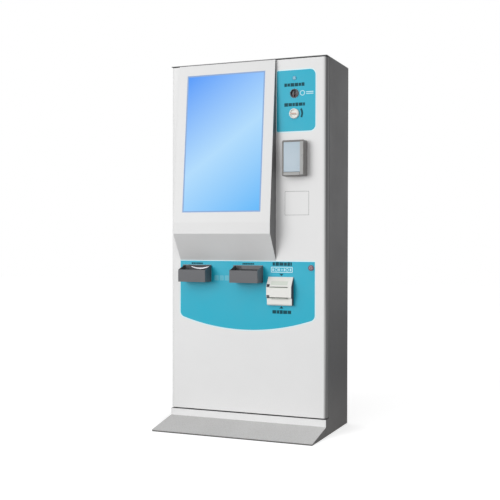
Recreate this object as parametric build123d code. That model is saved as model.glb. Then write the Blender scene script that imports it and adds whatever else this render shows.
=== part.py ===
from build123d import *
import math
import os

# Ticket vending machine: a floor standing steel cabinet whose whole front is one hinged door.
# Millimetres. +X is to the right for someone facing the machine, the front faces -Y, +Z is up.
# The origin is the centre of the four floor anchor holes, on the floor.

os.makedirs("parts", exist_ok=True)

# Overall sizes
CABINET_WIDTH = 772.0
CABINET_DEPTH = 342.0
CABINET_HEIGHT = 1700.0

# Sheet metal
BODY_SHEET = 2.0
BASE_SHEET = 4.0
ROOF_SHEET = 3.0
FIT_GAP = 0.3
SEAT_GAP = 0.5

# Plinth, kick plate and foot ramp
PLINTH_HEIGHT = 75.0
PLINTH_WALL = 3.0
PLINTH_FLANGE = 30.0
ANCHOR_SPACING_X = 640.0
ANCHOR_SPACING_Y = 220.0
ANCHOR_HOLE_RADIUS = 7.0
RAMP_LENGTH = 191.0
RAMP_HEIGHT = 43.5
RAMP_NOSE = 5.0
RAMP_RIB_COUNT = 5
RAMP_RIB = 4.0

# Door
DOOR_DEPTH = 40.0
DOOR_EDGE_RADIUS = 20.0
DOOR_RETURN = 24.0
DOOR_BOTTOM_GAP = 6.0
DOOR_TOP_GAP = 4.0
SEAL_THICKNESS = 2.7
SEAL_WIDTH = 9.0

# Front frame of the carcass
FRAME_FACE = 32.0
FRAME_DEPTH = 25.0
FRAME_WALL = 3.0

# Hinges
HINGE_COUNT = 3
HINGE_KNUCKLE = 36.0
HINGE_OUTER_RADIUS = 5.0
HINGE_PIN_RADIUS = 2.5
HINGE_PIN_PLAY = 0.05
HINGE_LEAF = 3.0
HINGE_LEAF_START = 2.5
HINGE_FRAME_REACH = 30.0
HINGE_DOOR_REACH = 13.0
HINGE_SIDE_GAP = 0.5
HINGE_END_MARGIN = 190.0

# Display hood: a wedge that leans out towards its lower edge
HOOD_LEFT = -336.0
HOOD_RIGHT = 146.0
HOOD_TOP_REACH = 12.5
HOOD_LOW_REACH = 77.5
HOOD_BEND_HEIGHT = 957.0
HOOD_BAND_HEIGHT = 905.0
HOOD_FOOT_HEIGHT = 782.0
WINDOW_LEFT = -292.0
WINDOW_WIDTH = 391.0
WINDOW_LENGTH = 644.0
WINDOW_LOW_HEIGHT = 1004.0
GLASS_THICKNESS = 4.0
GLASS_RECESS = 0.6
SCREEN_MODULE_DEPTH = 26.0
SCREEN_MODULE_MARGIN = 9.0

# Graphic overlays
OVERLAY = 0.6
UPPER_OVERLAY_LEFT = 150.0
UPPER_OVERLAY_RIGHT = 333.5
UPPER_OVERLAY_BOTTOM = 1367.0
UPPER_OVERLAY_TOP = 1642.0
LOWER_OVERLAY_LEFT = -336.0
LOWER_OVERLAY_RIGHT = 333.0
LOWER_OVERLAY_TOP = 779.0
LOWER_OVERLAY_SHOULDER = 520.0
LOWER_OVERLAY_BOTTOM = 463.0
OVERLAY_CORNER = 26.0
OVERLAY_SMALL_CORNER = 6.0

# Coin inlet, lamp and return knob share one vertical line
COIN_LINE_X = 234.0
LAMP_HEIGHT = 1606.0
LAMP_RADIUS = 9.0
INLET_HEIGHT = 1537.0
INLET_RADIUS = 20.5
KNOB_HEIGHT = 1446.0
KNOB_RADIUS = 22.5
KNOB_SHAFT_RADIUS = 5.0
COIN_SLOT_HEIGHT = 30.0
COIN_SLOT_WIDTH = 5.0

# Card reader and blanking cover
READER_LEFT = 190.0
READER_WIDTH = 106.0
READER_BOTTOM = 1163.0
READER_HEIGHT = 160.0
READER_REACH = 45.0
BLANK_LEFT = 189.0
BLANK_WIDTH = 115.0
BLANK_BOTTOM = 989.0
BLANK_HEIGHT = 108.0
BLANK_GAP = 1.5

# Banknote bezel
NOTE_LEFT = 112.0
NOTE_WIDTH = 120.0
NOTE_TOP = 709.0
NOTE_BROW = 659.0
NOTE_STEP = 614.0
NOTE_BOTTOM = 581.0
NOTE_REACH = 32.0
NOTE_LIP_REACH = 22.0
NOTE_SLOT_WIDTH = 86.0
NOTE_INLET = 663.0
NOTE_SLOT = 6.0

# Trays
TRAY_WIDTH = 138.0
TRAY_BOTTOM = 682.0
TRAY_FRONT_TOP = 738.0
TRAY_BACK_TOP = 760.0
TRAY_REACH = 70.0
TRAY_WALL = 2.5
TRAY_EAR = 10.0
COIN_TRAY_LEFT = -314.0
TICKET_TRAY_LEFT = -54.0

# Door lock and latch
LOCK_X = 315.5
LOCK_HEIGHT = 752.0
LOCK_RADIUS = 13.0
LOCK_PLUG_RADIUS = 8.0
CAM_ARM = 14.0
CAM_PIN_RADIUS = 3.0
CAM_SLOT_PLAY = 0.7
LATCH_BAR_WIDTH = 20.0
LATCH_BAR_THICK = 4.0

# Derived planes and edges of the carcass
HALF_W = CABINET_WIDTH / 2
FRONT = -CABINET_DEPTH / 2
BACK = CABINET_DEPTH / 2
DOOR_BACK = FRONT + DOOR_DEPTH
CARCASS_FRONT = DOOR_BACK + SEAL_THICKNESS + FIT_GAP
CARCASS_TOP = CABINET_HEIGHT - ROOF_SHEET
DOOR_BOTTOM = PLINTH_HEIGHT + DOOR_BOTTOM_GAP
DOOR_TOP = CARCASS_TOP - DOOR_TOP_GAP
INNER_X = HALF_W - BODY_SHEET
INNER_BACK = BACK - BODY_SHEET
HINGE_X = -HALF_W - HINGE_OUTER_RADIUS - HINGE_SIDE_GAP
HINGE_Y = DOOR_BACK


def block(x, y, z):
    """Box between the two values of each range."""
    size = (x[1] - x[0], y[1] - y[0], z[1] - z[0])
    middle = ((x[0] + x[1]) / 2, (y[0] + y[1]) / 2, (z[0] + z[1]) / 2)
    return Pos(*middle) * Box(*size)


def rod(axis, centre, radius, low, high):
    """Cylinder along an axis; centre holds the two other coordinates in X, Y, Z order."""
    body = Cylinder(radius, high - low)
    middle = (low + high) / 2
    if axis == "x":
        return Pos(middle, centre[0], centre[1]) * Rot(0, 90, 0) * body
    if axis == "y":
        return Pos(centre[0], middle, centre[1]) * Rot(90, 0, 0) * body
    return Pos(centre[0], centre[1], middle) * body


def prism_x(points, low, high):
    """Outline of (y, z) points, extruded along X."""
    outline = Polyline(*[(0, y, z) for y, z in points], close=True)
    return Pos(low, 0, 0) * extrude(make_face(outline), amount=high - low, dir=(1, 0, 0))


def plate_y(sketch, low, high):
    """Sketch drawn with X across and Y up, stood upright as a plate between two depths."""
    face = Plane.XZ.offset(-low) * sketch
    return extrude(face, amount=high - low, dir=(0, 1, 0))


def open_box(x, y, z, wall, open_side):
    """Thin walled box with one open side, named by its direction."""
    low = {"x": x[0] + wall, "y": y[0] + wall, "z": z[0] + wall}
    high = {"x": x[1] - wall, "y": y[1] - wall, "z": z[1] - wall}
    edge = open_side[1]
    if open_side[0] == "-":
        low[edge] = low[edge] - 2 * wall
    else:
        high[edge] = high[edge] + 2 * wall
    hollow = block((low["x"], high["x"]), (low["y"], high["y"]), (low["z"], high["z"]))
    return block(x, y, z) - hollow


def save(name, shape):
    """Write one node, its parts kept as separate solids."""
    shape.label = name
    export_step(shape, "parts/" + name + ".step")


def spread(count, low, high):
    """Evenly spaced places from low to high."""
    return [low + (high - low) * index / (count - 1) for index in range(count)]


# ---------------------------------------------------------------- plinth, ramp and kick plate

def base_frame():
    """Welded plinth tray with four anchor holes and an inward top flange."""
    outer = block((-HALF_W, HALF_W), (FRONT + BODY_SHEET, BACK), (0, PLINTH_HEIGHT))
    hollow = block(
        (-HALF_W + PLINTH_WALL, HALF_W - PLINTH_WALL),
        (FRONT + BODY_SHEET + PLINTH_WALL, BACK - PLINTH_WALL),
        (BASE_SHEET, PLINTH_HEIGHT - PLINTH_WALL),
    )
    hatch = block(
        (-HALF_W + PLINTH_FLANGE, HALF_W - PLINTH_FLANGE),
        (FRONT + BODY_SHEET + PLINTH_FLANGE, BACK - PLINTH_FLANGE),
        (PLINTH_HEIGHT - 2 * PLINTH_WALL, PLINTH_HEIGHT + 1),
    )
    tray = outer - hollow - hatch
    for x in (-ANCHOR_SPACING_X / 2, ANCHOR_SPACING_X / 2):
        for y in (-ANCHOR_SPACING_Y / 2, ANCHOR_SPACING_Y / 2):
            tray -= rod("z", (x, y), ANCHOR_HOLE_RADIUS, -1, BASE_SHEET + 1)
    return tray


def kick_plate():
    """Light strip between the ramp and the door."""
    return block((-HALF_W, HALF_W), (FRONT, FRONT + BODY_SHEET), (RAMP_HEIGHT, PLINTH_HEIGHT))


def ramp_profile(top, nose):
    """Side outline of the ramp under a given top height and nose height."""
    toe = FRONT - RAMP_LENGTH
    return [(toe, 0), (toe, nose), (FRONT, top), (FRONT, 0)]


RAMP_TREAD = 3.0


def ramp_body():
    """Wedge frame: toe bar, ribs and rear web under the tread."""
    top = RAMP_HEIGHT - RAMP_TREAD
    nose = RAMP_NOSE
    wedge = prism_x(ramp_profile(top, nose), -HALF_W, HALF_W)
    places = spread(RAMP_RIB_COUNT, -HALF_W + RAMP_RIB / 2, HALF_W - RAMP_RIB / 2)
    toe_line = FRONT - RAMP_LENGTH + 20
    for left, right in zip(places[:-1], places[1:]):
        bay = ((left + RAMP_RIB / 2, right - RAMP_RIB / 2), (toe_line, FRONT - RAMP_RIB), (-1, top + 1))
        wedge -= block(*bay)
    return wedge


def ramp_tread():
    """Sloping plate that people step on."""
    top = RAMP_HEIGHT - RAMP_TREAD
    toe = FRONT - RAMP_LENGTH
    points = [(toe, RAMP_NOSE), (toe, RAMP_NOSE + RAMP_TREAD), (FRONT, RAMP_HEIGHT), (FRONT, top)]
    return prism_x(points, -HALF_W, HALF_W)


# ---------------------------------------------------------------- carcass

def side_panel(side):
    """Bent side sheet with a return flange at the back; side is -1 left or 1 right."""
    z = (PLINTH_HEIGHT, CARCASS_TOP)
    skin = sorted((side * INNER_X, side * HALF_W))
    flange = sorted((side * (INNER_X - PLINTH_FLANGE), side * INNER_X))
    sheet = block(skin, (CARCASS_FRONT, INNER_BACK), z)
    return sheet + block(flange, (INNER_BACK - BODY_SHEET, INNER_BACK), z)


def roof_cap():
    """Top cover reaching forward over the door."""
    return block((-HALF_W, HALF_W), (FRONT, BACK), (CARCASS_TOP, CABINET_HEIGHT))


VENT_WIDTH = 120.0
VENT_SLOT = 6.0
VENT_PITCH = 14.0
VENT_COUNT = 7
FAN_X = 180.0
FAN_HEIGHT = 1560.0
GLAND_X = -250.0
GLAND_HEIGHT = 160.0
GLAND_RADIUS = 16.0


def back_panel():
    """Rear sheet with two groups of vent slots and the cable gland hole."""
    panel = block((-HALF_W, HALF_W), (INNER_BACK, BACK), (PLINTH_HEIGHT, CARCASS_TOP))
    slot_cut = (INNER_BACK - 1, BACK + 1)
    for middle in ((FAN_X, FAN_HEIGHT), (-FAN_X, PLINTH_HEIGHT + 200.0)):
        for row in range(VENT_COUNT):
            z = middle[1] + (row - (VENT_COUNT - 1) / 2) * VENT_PITCH
            slot = SlotOverall(VENT_WIDTH, VENT_SLOT)
            panel -= Pos(middle[0], 0, z) * plate_y(slot, *slot_cut)
    return panel - rod("y", (GLAND_X, GLAND_HEIGHT), GLAND_RADIUS, *slot_cut)


def cable_gland():
    """Bushing that lines the supply cable's hole in the back panel."""
    flange = rod("y", (GLAND_X, GLAND_HEIGHT), GLAND_RADIUS + 5, BACK, BACK + 4)
    sleeve = rod("y", (GLAND_X, GLAND_HEIGHT), GLAND_RADIUS, INNER_BACK - 8, BACK)
    bore = rod("y", (GLAND_X, GLAND_HEIGHT), GLAND_RADIUS - 7, INNER_BACK - 10, BACK + 6)
    return flange + sleeve - bore


def front_frame():
    """Ring that the door closes on."""
    y = (CARCASS_FRONT, CARCASS_FRONT + FRAME_DEPTH)
    outer = block((-INNER_X, INNER_X), y, (PLINTH_HEIGHT, CARCASS_TOP))
    opening = block(
        (-INNER_X + FRAME_FACE, INNER_X - FRAME_FACE),
        (y[0] - 1, y[1] + 1),
        (PLINTH_HEIGHT + FRAME_FACE, CARCASS_TOP - FRAME_FACE),
    )
    groove = block(
        (-INNER_X + FRAME_WALL, INNER_X - FRAME_WALL),
        (y[0] + FRAME_WALL, y[1] + 1),
        (PLINTH_HEIGHT + FRAME_WALL, CARCASS_TOP - FRAME_WALL),
    )
    land = FRAME_FACE - FRAME_WALL
    groove -= block(
        (-INNER_X + land, INNER_X - land), (y[0], y[1] + 2), (PLINTH_HEIGHT + land, CARCASS_TOP - land)
    )
    return outer - opening - groove


def door_seal():
    """Rubber gasket on the front frame."""
    inset = DOOR_RETURN / 2
    y = (DOOR_BACK + FIT_GAP, CARCASS_FRONT)
    z = (DOOR_BOTTOM + inset - SEAL_WIDTH / 2, DOOR_TOP - inset + SEAL_WIDTH / 2)
    half = HALF_W - inset + SEAL_WIDTH / 2
    inner = half - SEAL_WIDTH
    ring = block((-half, half), y, z)
    return ring - block((-inner, inner), (y[0] - 1, y[1] + 1), (z[0] + SEAL_WIDTH, z[1] - SEAL_WIDTH))


def hinge_heights():
    """Middle height of each hinge."""
    return spread(HINGE_COUNT, DOOR_BOTTOM + HINGE_END_MARGIN, DOOR_TOP - HINGE_END_MARGIN)


def hinge_knuckle(low, high, radius):
    """Upright barrel piece on the hinge line."""
    return rod("z", (HINGE_X, HINGE_Y), radius, low, high)


def hinge_frame_leaves():
    """Lower knuckles with their pins and the leaves fixed to the cabinet's side."""
    leaves = []
    for middle in hinge_heights():
        low, high = middle - HINGE_KNUCKLE, middle - FIT_GAP / 2
        knuckle = hinge_knuckle(low, high, HINGE_OUTER_RADIUS)
        start = HINGE_Y + HINGE_LEAF_START
        leaf = block((HINGE_X, -HALF_W), (start, start + HINGE_LEAF), (low, high))
        leaf += block((-HALF_W - HINGE_LEAF, -HALF_W), (start, HINGE_Y + HINGE_FRAME_REACH), (low, high))
        pin = hinge_knuckle(low, middle + HINGE_KNUCKLE - 3, HINGE_PIN_RADIUS)
        leaves.append(knuckle + leaf + pin)
    return Compound(children=[leaf.solid() for leaf in leaves])


def hinge_door_leaves():
    """Upper knuckles that drop over the pins, on the door's side."""
    leaves = []
    for middle in hinge_heights():
        low, high = middle + FIT_GAP / 2, middle + HINGE_KNUCKLE
        knuckle = hinge_knuckle(low, high, HINGE_OUTER_RADIUS)
        start = HINGE_Y - HINGE_LEAF_START
        leaf = block((HINGE_X, -HALF_W), (start - HINGE_LEAF, start), (low, high))
        leaf += block((-HALF_W - HINGE_LEAF, -HALF_W), (HINGE_Y - HINGE_DOOR_REACH, start), (low, high))
        bore = hinge_knuckle(low - 1, high - 2, HINGE_PIN_RADIUS + HINGE_PIN_PLAY)
        leaves.append(knuckle + leaf - bore)
    return Compound(children=[leaf.solid() for leaf in leaves])


# ---------------------------------------------------------------- display hood

HOOD_SLOPE = math.atan2(HOOD_LOW_REACH - HOOD_TOP_REACH, DOOR_TOP - HOOD_BEND_HEIGHT)


def hood_outline(inset):
    """Side outline of the hood, (y, z), drawn in by a sheet thickness."""
    return [
        (FRONT, DOOR_TOP - inset),
        (FRONT - HOOD_TOP_REACH + inset, DOOR_TOP - inset),
        (FRONT - HOOD_LOW_REACH + inset, HOOD_BEND_HEIGHT),
        (FRONT - HOOD_LOW_REACH + inset, HOOD_BAND_HEIGHT + inset / 2),
        (FRONT, HOOD_FOOT_HEIGHT + 1.9 * inset),
    ]


def hood_inside():
    """Inner side outline of the hood, run on a little past the door's face."""
    points = hood_outline(BODY_SHEET)
    points[0] = (FRONT + 1, points[0][1])
    points[-1] = (FRONT + 1, points[-1][1])
    return points


def window_plane():
    """Plane on the hood's sloping face, centred on the window: X right, Y up the slope."""
    rise = WINDOW_LENGTH / 2 * math.cos(HOOD_SLOPE)
    z = WINDOW_LOW_HEIGHT + rise
    y = FRONT - HOOD_TOP_REACH - (DOOR_TOP - z) * math.tan(HOOD_SLOPE)
    out = (0, -math.cos(HOOD_SLOPE), math.sin(HOOD_SLOPE))
    middle = WINDOW_LEFT + WINDOW_WIDTH / 2
    return Plane(origin=(middle, y, z), x_dir=(1, 0, 0), z_dir=out)


def window_block(width, length, low, high):
    """Box in the window plane between two depths below the hood's face."""
    return window_plane() * (Pos(0, 0, -(low + high) / 2) * Box(width, length, high - low))


def hood_front():
    """Bent sheet: sloping face, upright band and underside."""
    shell = prism_x(hood_outline(0), HOOD_LEFT, HOOD_RIGHT)
    shell -= prism_x(hood_inside(), HOOD_LEFT - 1, HOOD_RIGHT + 1)
    return shell - window_block(WINDOW_WIDTH, WINDOW_LENGTH, -5, 8)


def hood_cheeks():
    """Dark side plates of the hood, set inside the bent sheet."""
    past_door = block((HOOD_LEFT - 1, HOOD_RIGHT + 1), (FRONT, FRONT + 2), (HOOD_FOOT_HEIGHT, DOOR_TOP))
    plates = []
    for low in (HOOD_LEFT, HOOD_RIGHT - BODY_SHEET):
        plates.append((prism_x(hood_inside(), low, low + BODY_SHEET) - past_door).solid())
    return Compound(children=plates)


def display_glass():
    """Touch glass let into the hood's window."""
    width, length = WINDOW_WIDTH - 2 * SEAT_GAP, WINDOW_LENGTH - 2 * SEAT_GAP
    return window_block(width, length, GLASS_RECESS, GLASS_RECESS + GLASS_THICKNESS).solid()


def display_module():
    """Flat panel module right behind the glass."""
    margin = 2 * SCREEN_MODULE_MARGIN
    top = GLASS_RECESS + GLASS_THICKNESS
    return window_block(
        WINDOW_WIDTH + margin, WINDOW_LENGTH + margin, top, top + SCREEN_MODULE_DEPTH
    ).solid()


RAIL_WIDTH = 22.0
RAIL_DEPTH = 8.0


def display_rails():
    """Two cross rails behind the module, fixed to the hood's cheeks."""
    back = GLASS_RECESS + GLASS_THICKNESS + SCREEN_MODULE_DEPTH
    plane = window_plane()
    low = HOOD_LEFT + BODY_SHEET
    high = HOOD_RIGHT - BODY_SHEET
    rails = []
    for place in (-WINDOW_LENGTH / 2 + 60, -20.0):
        shift = (low + high) / 2 - plane.origin.X
        bar = Pos(shift, place, -back - RAIL_DEPTH / 2) * Box(high - low, RAIL_WIDTH, RAIL_DEPTH)
        rails.append((plane * bar).solid())
    return Compound(children=rails)


# ---------------------------------------------------------------- door

DOOR_WINDOW_BOTTOM = 1330.0
READER_BODY_INSET = 12.0
BLANK_LIP = 8.0
THROAT_INSET = 14.0
THROAT_BOTTOM = TRAY_BOTTOM + 8.0
THROAT_TOP = TRAY_FRONT_TOP + 6.0


def tray_throat(left, grow):
    """X and Z ranges of the passage behind a tray, grown by a clearance."""
    x = (left + THROAT_INSET - grow, left + TRAY_WIDTH - THROAT_INSET + grow)
    return x, (THROAT_BOTTOM - grow, THROAT_TOP + grow)


def door_holes(low, high):
    """Everything that is cut through the door's front, as cutters."""
    y = (low, high)
    cutters = [
        block((HOOD_LEFT + 20, HOOD_RIGHT - 20), y, (DOOR_WINDOW_BOTTOM, DOOR_TOP - 30)),
        rod("y", (COIN_LINE_X, LAMP_HEIGHT), LAMP_RADIUS - 2, low, high),
        rod("y", (COIN_LINE_X, INLET_HEIGHT), INLET_RADIUS - 2, low, high),
        rod("y", (COIN_LINE_X, KNOB_HEIGHT), KNOB_SHAFT_RADIUS + SEAT_GAP, low, high),
        rod("y", (LOCK_X, LOCK_HEIGHT), LOCK_RADIUS - 2, low, high),
        block(
            (READER_LEFT + READER_BODY_INSET, READER_LEFT + READER_WIDTH - READER_BODY_INSET),
            y,
            (READER_BOTTOM + READER_BODY_INSET, READER_BOTTOM + READER_HEIGHT - READER_BODY_INSET),
        ),
        block((BLANK_LEFT, BLANK_LEFT + BLANK_WIDTH), y, (BLANK_BOTTOM, BLANK_BOTTOM + BLANK_HEIGHT)),
        block((NOTE_LEFT + 8, NOTE_LEFT + NOTE_WIDTH - 8), y, (NOTE_BOTTOM + 8, NOTE_TOP - 8)),
    ]
    for left in (COIN_TRAY_LEFT, TICKET_TRAY_LEFT):
        x, z = tray_throat(left, 0)
        cutters.append(block(x, y, z))
    return cutters


def door_panel():
    """Door pan: front skin, four sides, rounded upright edges and a rear return flange."""
    pan = block((-HALF_W, HALF_W), (FRONT, DOOR_BACK), (DOOR_BOTTOM, DOOR_TOP))
    upright = [e for e in pan.edges().filter_by(Axis.Z) if e.center().Y < FRONT + 1]
    pan = fillet(upright, DOOR_EDGE_RADIUS)
    wall = BODY_SHEET
    hollow = block(
        (-HALF_W + wall, HALF_W - wall),
        (FRONT + wall, DOOR_BACK - wall),
        (DOOR_BOTTOM + wall, DOOR_TOP - wall),
    )
    upright = [e for e in hollow.edges().filter_by(Axis.Z) if e.center().Y < FRONT + wall + 1]
    pan -= fillet(upright, DOOR_EDGE_RADIUS - wall)
    edge = DOOR_RETURN
    pan -= block(
        (-HALF_W + edge, HALF_W - edge),
        (DOOR_BACK - wall - 1, DOOR_BACK + 1),
        (DOOR_BOTTOM + edge, DOOR_TOP - edge),
    )
    for cutter in door_holes(FRONT - 1, FRONT + wall + 1):
        pan -= cutter
    return pan


def upper_overlay():
    """Graphic panel behind the coin inlet and knob."""
    width = UPPER_OVERLAY_RIGHT - UPPER_OVERLAY_LEFT
    height = UPPER_OVERLAY_TOP - UPPER_OVERLAY_BOTTOM
    plate = plate_y(RectangleRounded(width, height, OVERLAY_SMALL_CORNER), FRONT - OVERLAY, FRONT)
    middle_x = (UPPER_OVERLAY_LEFT + UPPER_OVERLAY_RIGHT) / 2
    middle_z = (UPPER_OVERLAY_BOTTOM + UPPER_OVERLAY_TOP) / 2
    plate = Pos(middle_x, 0, middle_z) * plate
    box = RectangleRounded(2 * width, height, OVERLAY_CORNER)
    keep = Pos(UPPER_OVERLAY_RIGHT - width, 0, (UPPER_OVERLAY_BOTTOM + UPPER_OVERLAY_TOP) / 2)
    plate = plate & (keep * plate_y(box, FRONT - 2, FRONT + 1))
    y = (FRONT - 2, FRONT + 1)
    plate -= rod("y", (COIN_LINE_X, LAMP_HEIGHT), LAMP_RADIUS + SEAT_GAP, *y)
    plate -= rod("y", (COIN_LINE_X, INLET_HEIGHT), INLET_RADIUS + SEAT_GAP, *y)
    return plate - rod("y", (COIN_LINE_X, KNOB_HEIGHT), KNOB_RADIUS + SEAT_GAP, *y)


def lower_overlay():
    """Graphic panel round the trays and the banknote bezel, its foot drawn as a long arc."""
    left, right = LOWER_OVERLAY_LEFT, LOWER_OVERLAY_RIGHT
    shoulder = LOWER_OVERLAY_SHOULDER
    middle = (left + right) / 2
    top = LOWER_OVERLAY_TOP
    sides = Polyline((left, shoulder), (left, top), (right, top), (right, shoulder))
    foot = ThreePointArc((right, shoulder), (middle, LOWER_OVERLAY_BOTTOM), (left, shoulder))
    outline = make_face([*sides.edges(), foot])
    corners = [v for v in outline.vertices() if v.Y < shoulder + 1]
    outline = fillet(corners, OVERLAY_CORNER)
    plate = plate_y(outline, FRONT - OVERLAY, FRONT)
    y = (FRONT - 2, FRONT + 1)
    grow = SEAT_GAP
    plate -= rod("y", (LOCK_X, LOCK_HEIGHT), LOCK_RADIUS + grow, *y)
    note_x = (NOTE_LEFT - grow, NOTE_LEFT + NOTE_WIDTH + grow)
    plate -= block(note_x, y, (NOTE_BOTTOM - grow, NOTE_TOP + grow))
    for tray in (COIN_TRAY_LEFT, TICKET_TRAY_LEFT):
        x = (tray - TRAY_EAR - grow, tray + TRAY_WIDTH + grow)
        plate -= block(x, y, (TRAY_BOTTOM - grow, TRAY_BACK_TOP + grow))
    return plate


# ---------------------------------------------------------------- fittings on the door

def status_lamp():
    """Domed lens of the status lamp."""
    lens = rod("y", (COIN_LINE_X, LAMP_HEIGHT), LAMP_RADIUS, FRONT - 4, FRONT)
    rim = [e for e in lens.edges() if e.center().Y < FRONT - 3.5 and e.geom_type == GeomType.CIRCLE]
    lens = fillet(rim, 2.5)
    return lens + rod("y", (COIN_LINE_X, LAMP_HEIGHT), LAMP_RADIUS - 2 - FIT_GAP, FRONT, FRONT + 12)


def coin_inlet():
    """Round dished bezel with an upright coin slot."""
    centre = (COIN_LINE_X, INLET_HEIGHT)
    bezel = rod("y", centre, INLET_RADIUS, FRONT - 3, FRONT)
    bezel += rod("y", centre, INLET_RADIUS - 2 - FIT_GAP, FRONT, FRONT + 14)
    bezel -= rod("y", centre, INLET_RADIUS - 3.5, FRONT - 4, FRONT + 6)
    slot_x = (COIN_LINE_X - COIN_SLOT_WIDTH / 2, COIN_LINE_X + COIN_SLOT_WIDTH / 2)
    slot_z = (INLET_HEIGHT - COIN_SLOT_HEIGHT / 2, INLET_HEIGHT + COIN_SLOT_HEIGHT / 2)
    return bezel - block(slot_x, (FRONT - 5, FRONT + 20), slot_z)


SELECTOR_WIDTH = 90.0
SELECTOR_HEIGHT = 130.0
SELECTOR_DEPTH = 60.0
SELECTOR_GAP = 15.0
SELECTOR_SLOT = COIN_SLOT_WIDTH + 3.0
KNOB_CAM_ARM = 26.0
KNOB_CAM_THICK = 5.0


def coin_selector():
    """Coin checking unit behind the inlet: open passage inside a box, on two side brackets."""
    front = FRONT + SELECTOR_GAP
    top = INLET_HEIGHT + 45
    x = (COIN_LINE_X - SELECTOR_WIDTH / 2, COIN_LINE_X + SELECTOR_WIDTH / 2)
    body = block(x, (front, front + SELECTOR_DEPTH), (top - SELECTOR_HEIGHT + 45, top))
    slot = (COIN_LINE_X - SELECTOR_SLOT / 2, COIN_LINE_X + SELECTOR_SLOT / 2)
    passage_y = (front - 1, front + SELECTOR_DEPTH - 8)
    body -= block(slot, passage_y, (top - SELECTOR_HEIGHT, INLET_HEIGHT + COIN_SLOT_HEIGHT / 2 + 4))
    for side in (x[0] - 3, x[1]):
        foot_y = (FRONT + BODY_SHEET, front + 30)
        foot = block((side, side + 3), foot_y, (INLET_HEIGHT - 20, INLET_HEIGHT + 20))
        body += foot
    return body


def coin_chute():
    """Sloping duct from the selector down behind the display to the coin hopper."""
    front = FRONT + SELECTOR_GAP
    y = (front + 4, front + 44)
    wall = 1.5
    top = INLET_HEIGHT + 45 - SELECTOR_HEIGHT + 45 - FIT_GAP
    low_x, low_z = HOPPER_X, HOPPER_TOP + CHUTE_DROP
    width = 44.0
    outline = [
        (COIN_LINE_X + width / 2, top),
        (COIN_LINE_X - width / 2, top),
        (low_x - width / 2, low_z + 60),
        (low_x - width / 2, low_z),
        (low_x + width / 2, low_z),
        (low_x + width / 2, low_z + 40),
        (COIN_LINE_X + width / 2, top - 70),
    ]
    inner = [
        (COIN_LINE_X + width / 2 - wall, top + 1),
        (COIN_LINE_X - width / 2 + wall, top + 1),
        (COIN_LINE_X - width / 2 + wall, top - wall),
        (low_x - width / 2 + wall, low_z + 60 - wall),
        (low_x - width / 2 + wall, low_z - 1),
        (low_x + width / 2 - wall, low_z - 1),
        (low_x + width / 2 - wall, low_z + 40 + wall),
        (COIN_LINE_X + width / 2 - wall, top - 70 + wall),
    ]
    duct = plate_y(make_face(Polyline(*outline, close=True)), *y)
    return duct - plate_y(make_face(Polyline(*inner, close=True)), y[0] + wall, y[1] - wall)


def coin_return_knob():
    """Return knob: dished disc with a raised finger bar, its shaft and the cam behind the door."""
    centre = (COIN_LINE_X, KNOB_HEIGHT)
    back = FRONT - FIT_GAP
    disc = rod("y", centre, KNOB_RADIUS, back - 10, back)
    rim = [e for e in disc.edges() if e.center().Y < back - 9 and e.geom_type == GeomType.CIRCLE]
    disc = fillet(rim, 3)
    disc -= rod("y", centre, KNOB_RADIUS - 5, back - 11, back - 5)
    bar = block((COIN_LINE_X - KNOB_RADIUS + 4, COIN_LINE_X + KNOB_RADIUS - 4), (back - 12, back - 4),
                (KNOB_HEIGHT - 3.5, KNOB_HEIGHT + 3.5))
    shaft = rod("y", centre, KNOB_SHAFT_RADIUS, back - 1, FRONT + 12 + KNOB_CAM_THICK)
    cam_y = (FRONT + 12, FRONT + 12 + KNOB_CAM_THICK)
    cam = block((COIN_LINE_X - 5, COIN_LINE_X + 5), cam_y, (KNOB_HEIGHT, KNOB_HEIGHT + KNOB_CAM_ARM))
    return disc + bar + shaft + cam


READER_PAD = 6.0
READER_PROUD = 1.0
READER_RIM = 9.0
READER_CHIN = 18.0


def reader_face(grow):
    """X and Z ranges of the pad on the reader's face, grown by a clearance."""
    x = (READER_LEFT + READER_RIM - grow, READER_LEFT + READER_WIDTH - READER_RIM + grow)
    return x, (READER_BOTTOM + READER_CHIN - grow, READER_BOTTOM + READER_HEIGHT - READER_RIM + grow)


def card_reader_case():
    """Housing of the contactless card reader with its body through the door."""
    x = (READER_LEFT, READER_LEFT + READER_WIDTH)
    z = (READER_BOTTOM, READER_BOTTOM + READER_HEIGHT)
    case = block(x, (FRONT - READER_REACH + READER_PROUD, FRONT), z)
    case = fillet(case.edges().filter_by(Axis.Y), 7)
    front_edges = [e for e in case.edges() if e.center().Y < FRONT - READER_REACH + READER_PROUD + 0.1]
    case = fillet(front_edges, 3)
    pad_x, pad_z = reader_face(SEAT_GAP)
    case -= block(pad_x, (FRONT - READER_REACH, FRONT - READER_REACH + READER_PAD), pad_z)
    inset = READER_BODY_INSET + SEAT_GAP
    tail = block((x[0] + inset, x[1] - inset), (FRONT, FRONT + 30), (z[0] + inset, z[1] - inset))
    hollow_y = (FRONT - READER_REACH + READER_PAD + 4, FRONT + 31)
    hollow = block((x[0] + inset + 3, x[1] - inset - 3), hollow_y, (z[0] + inset + 3, z[1] - inset - 3))
    return case + tail - hollow




def card_reader_pad():
    """Pale landing pad on the reader's face."""
    x, z = reader_face(0)
    face = FRONT - READER_REACH
    pad = block(x, (face, face + READER_PAD), z)
    pad = fillet(pad.edges().filter_by(Axis.Y), 3)
    return chamfer([e for e in pad.edges() if abs(e.center().Y - face) < 0.1], 1)


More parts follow.
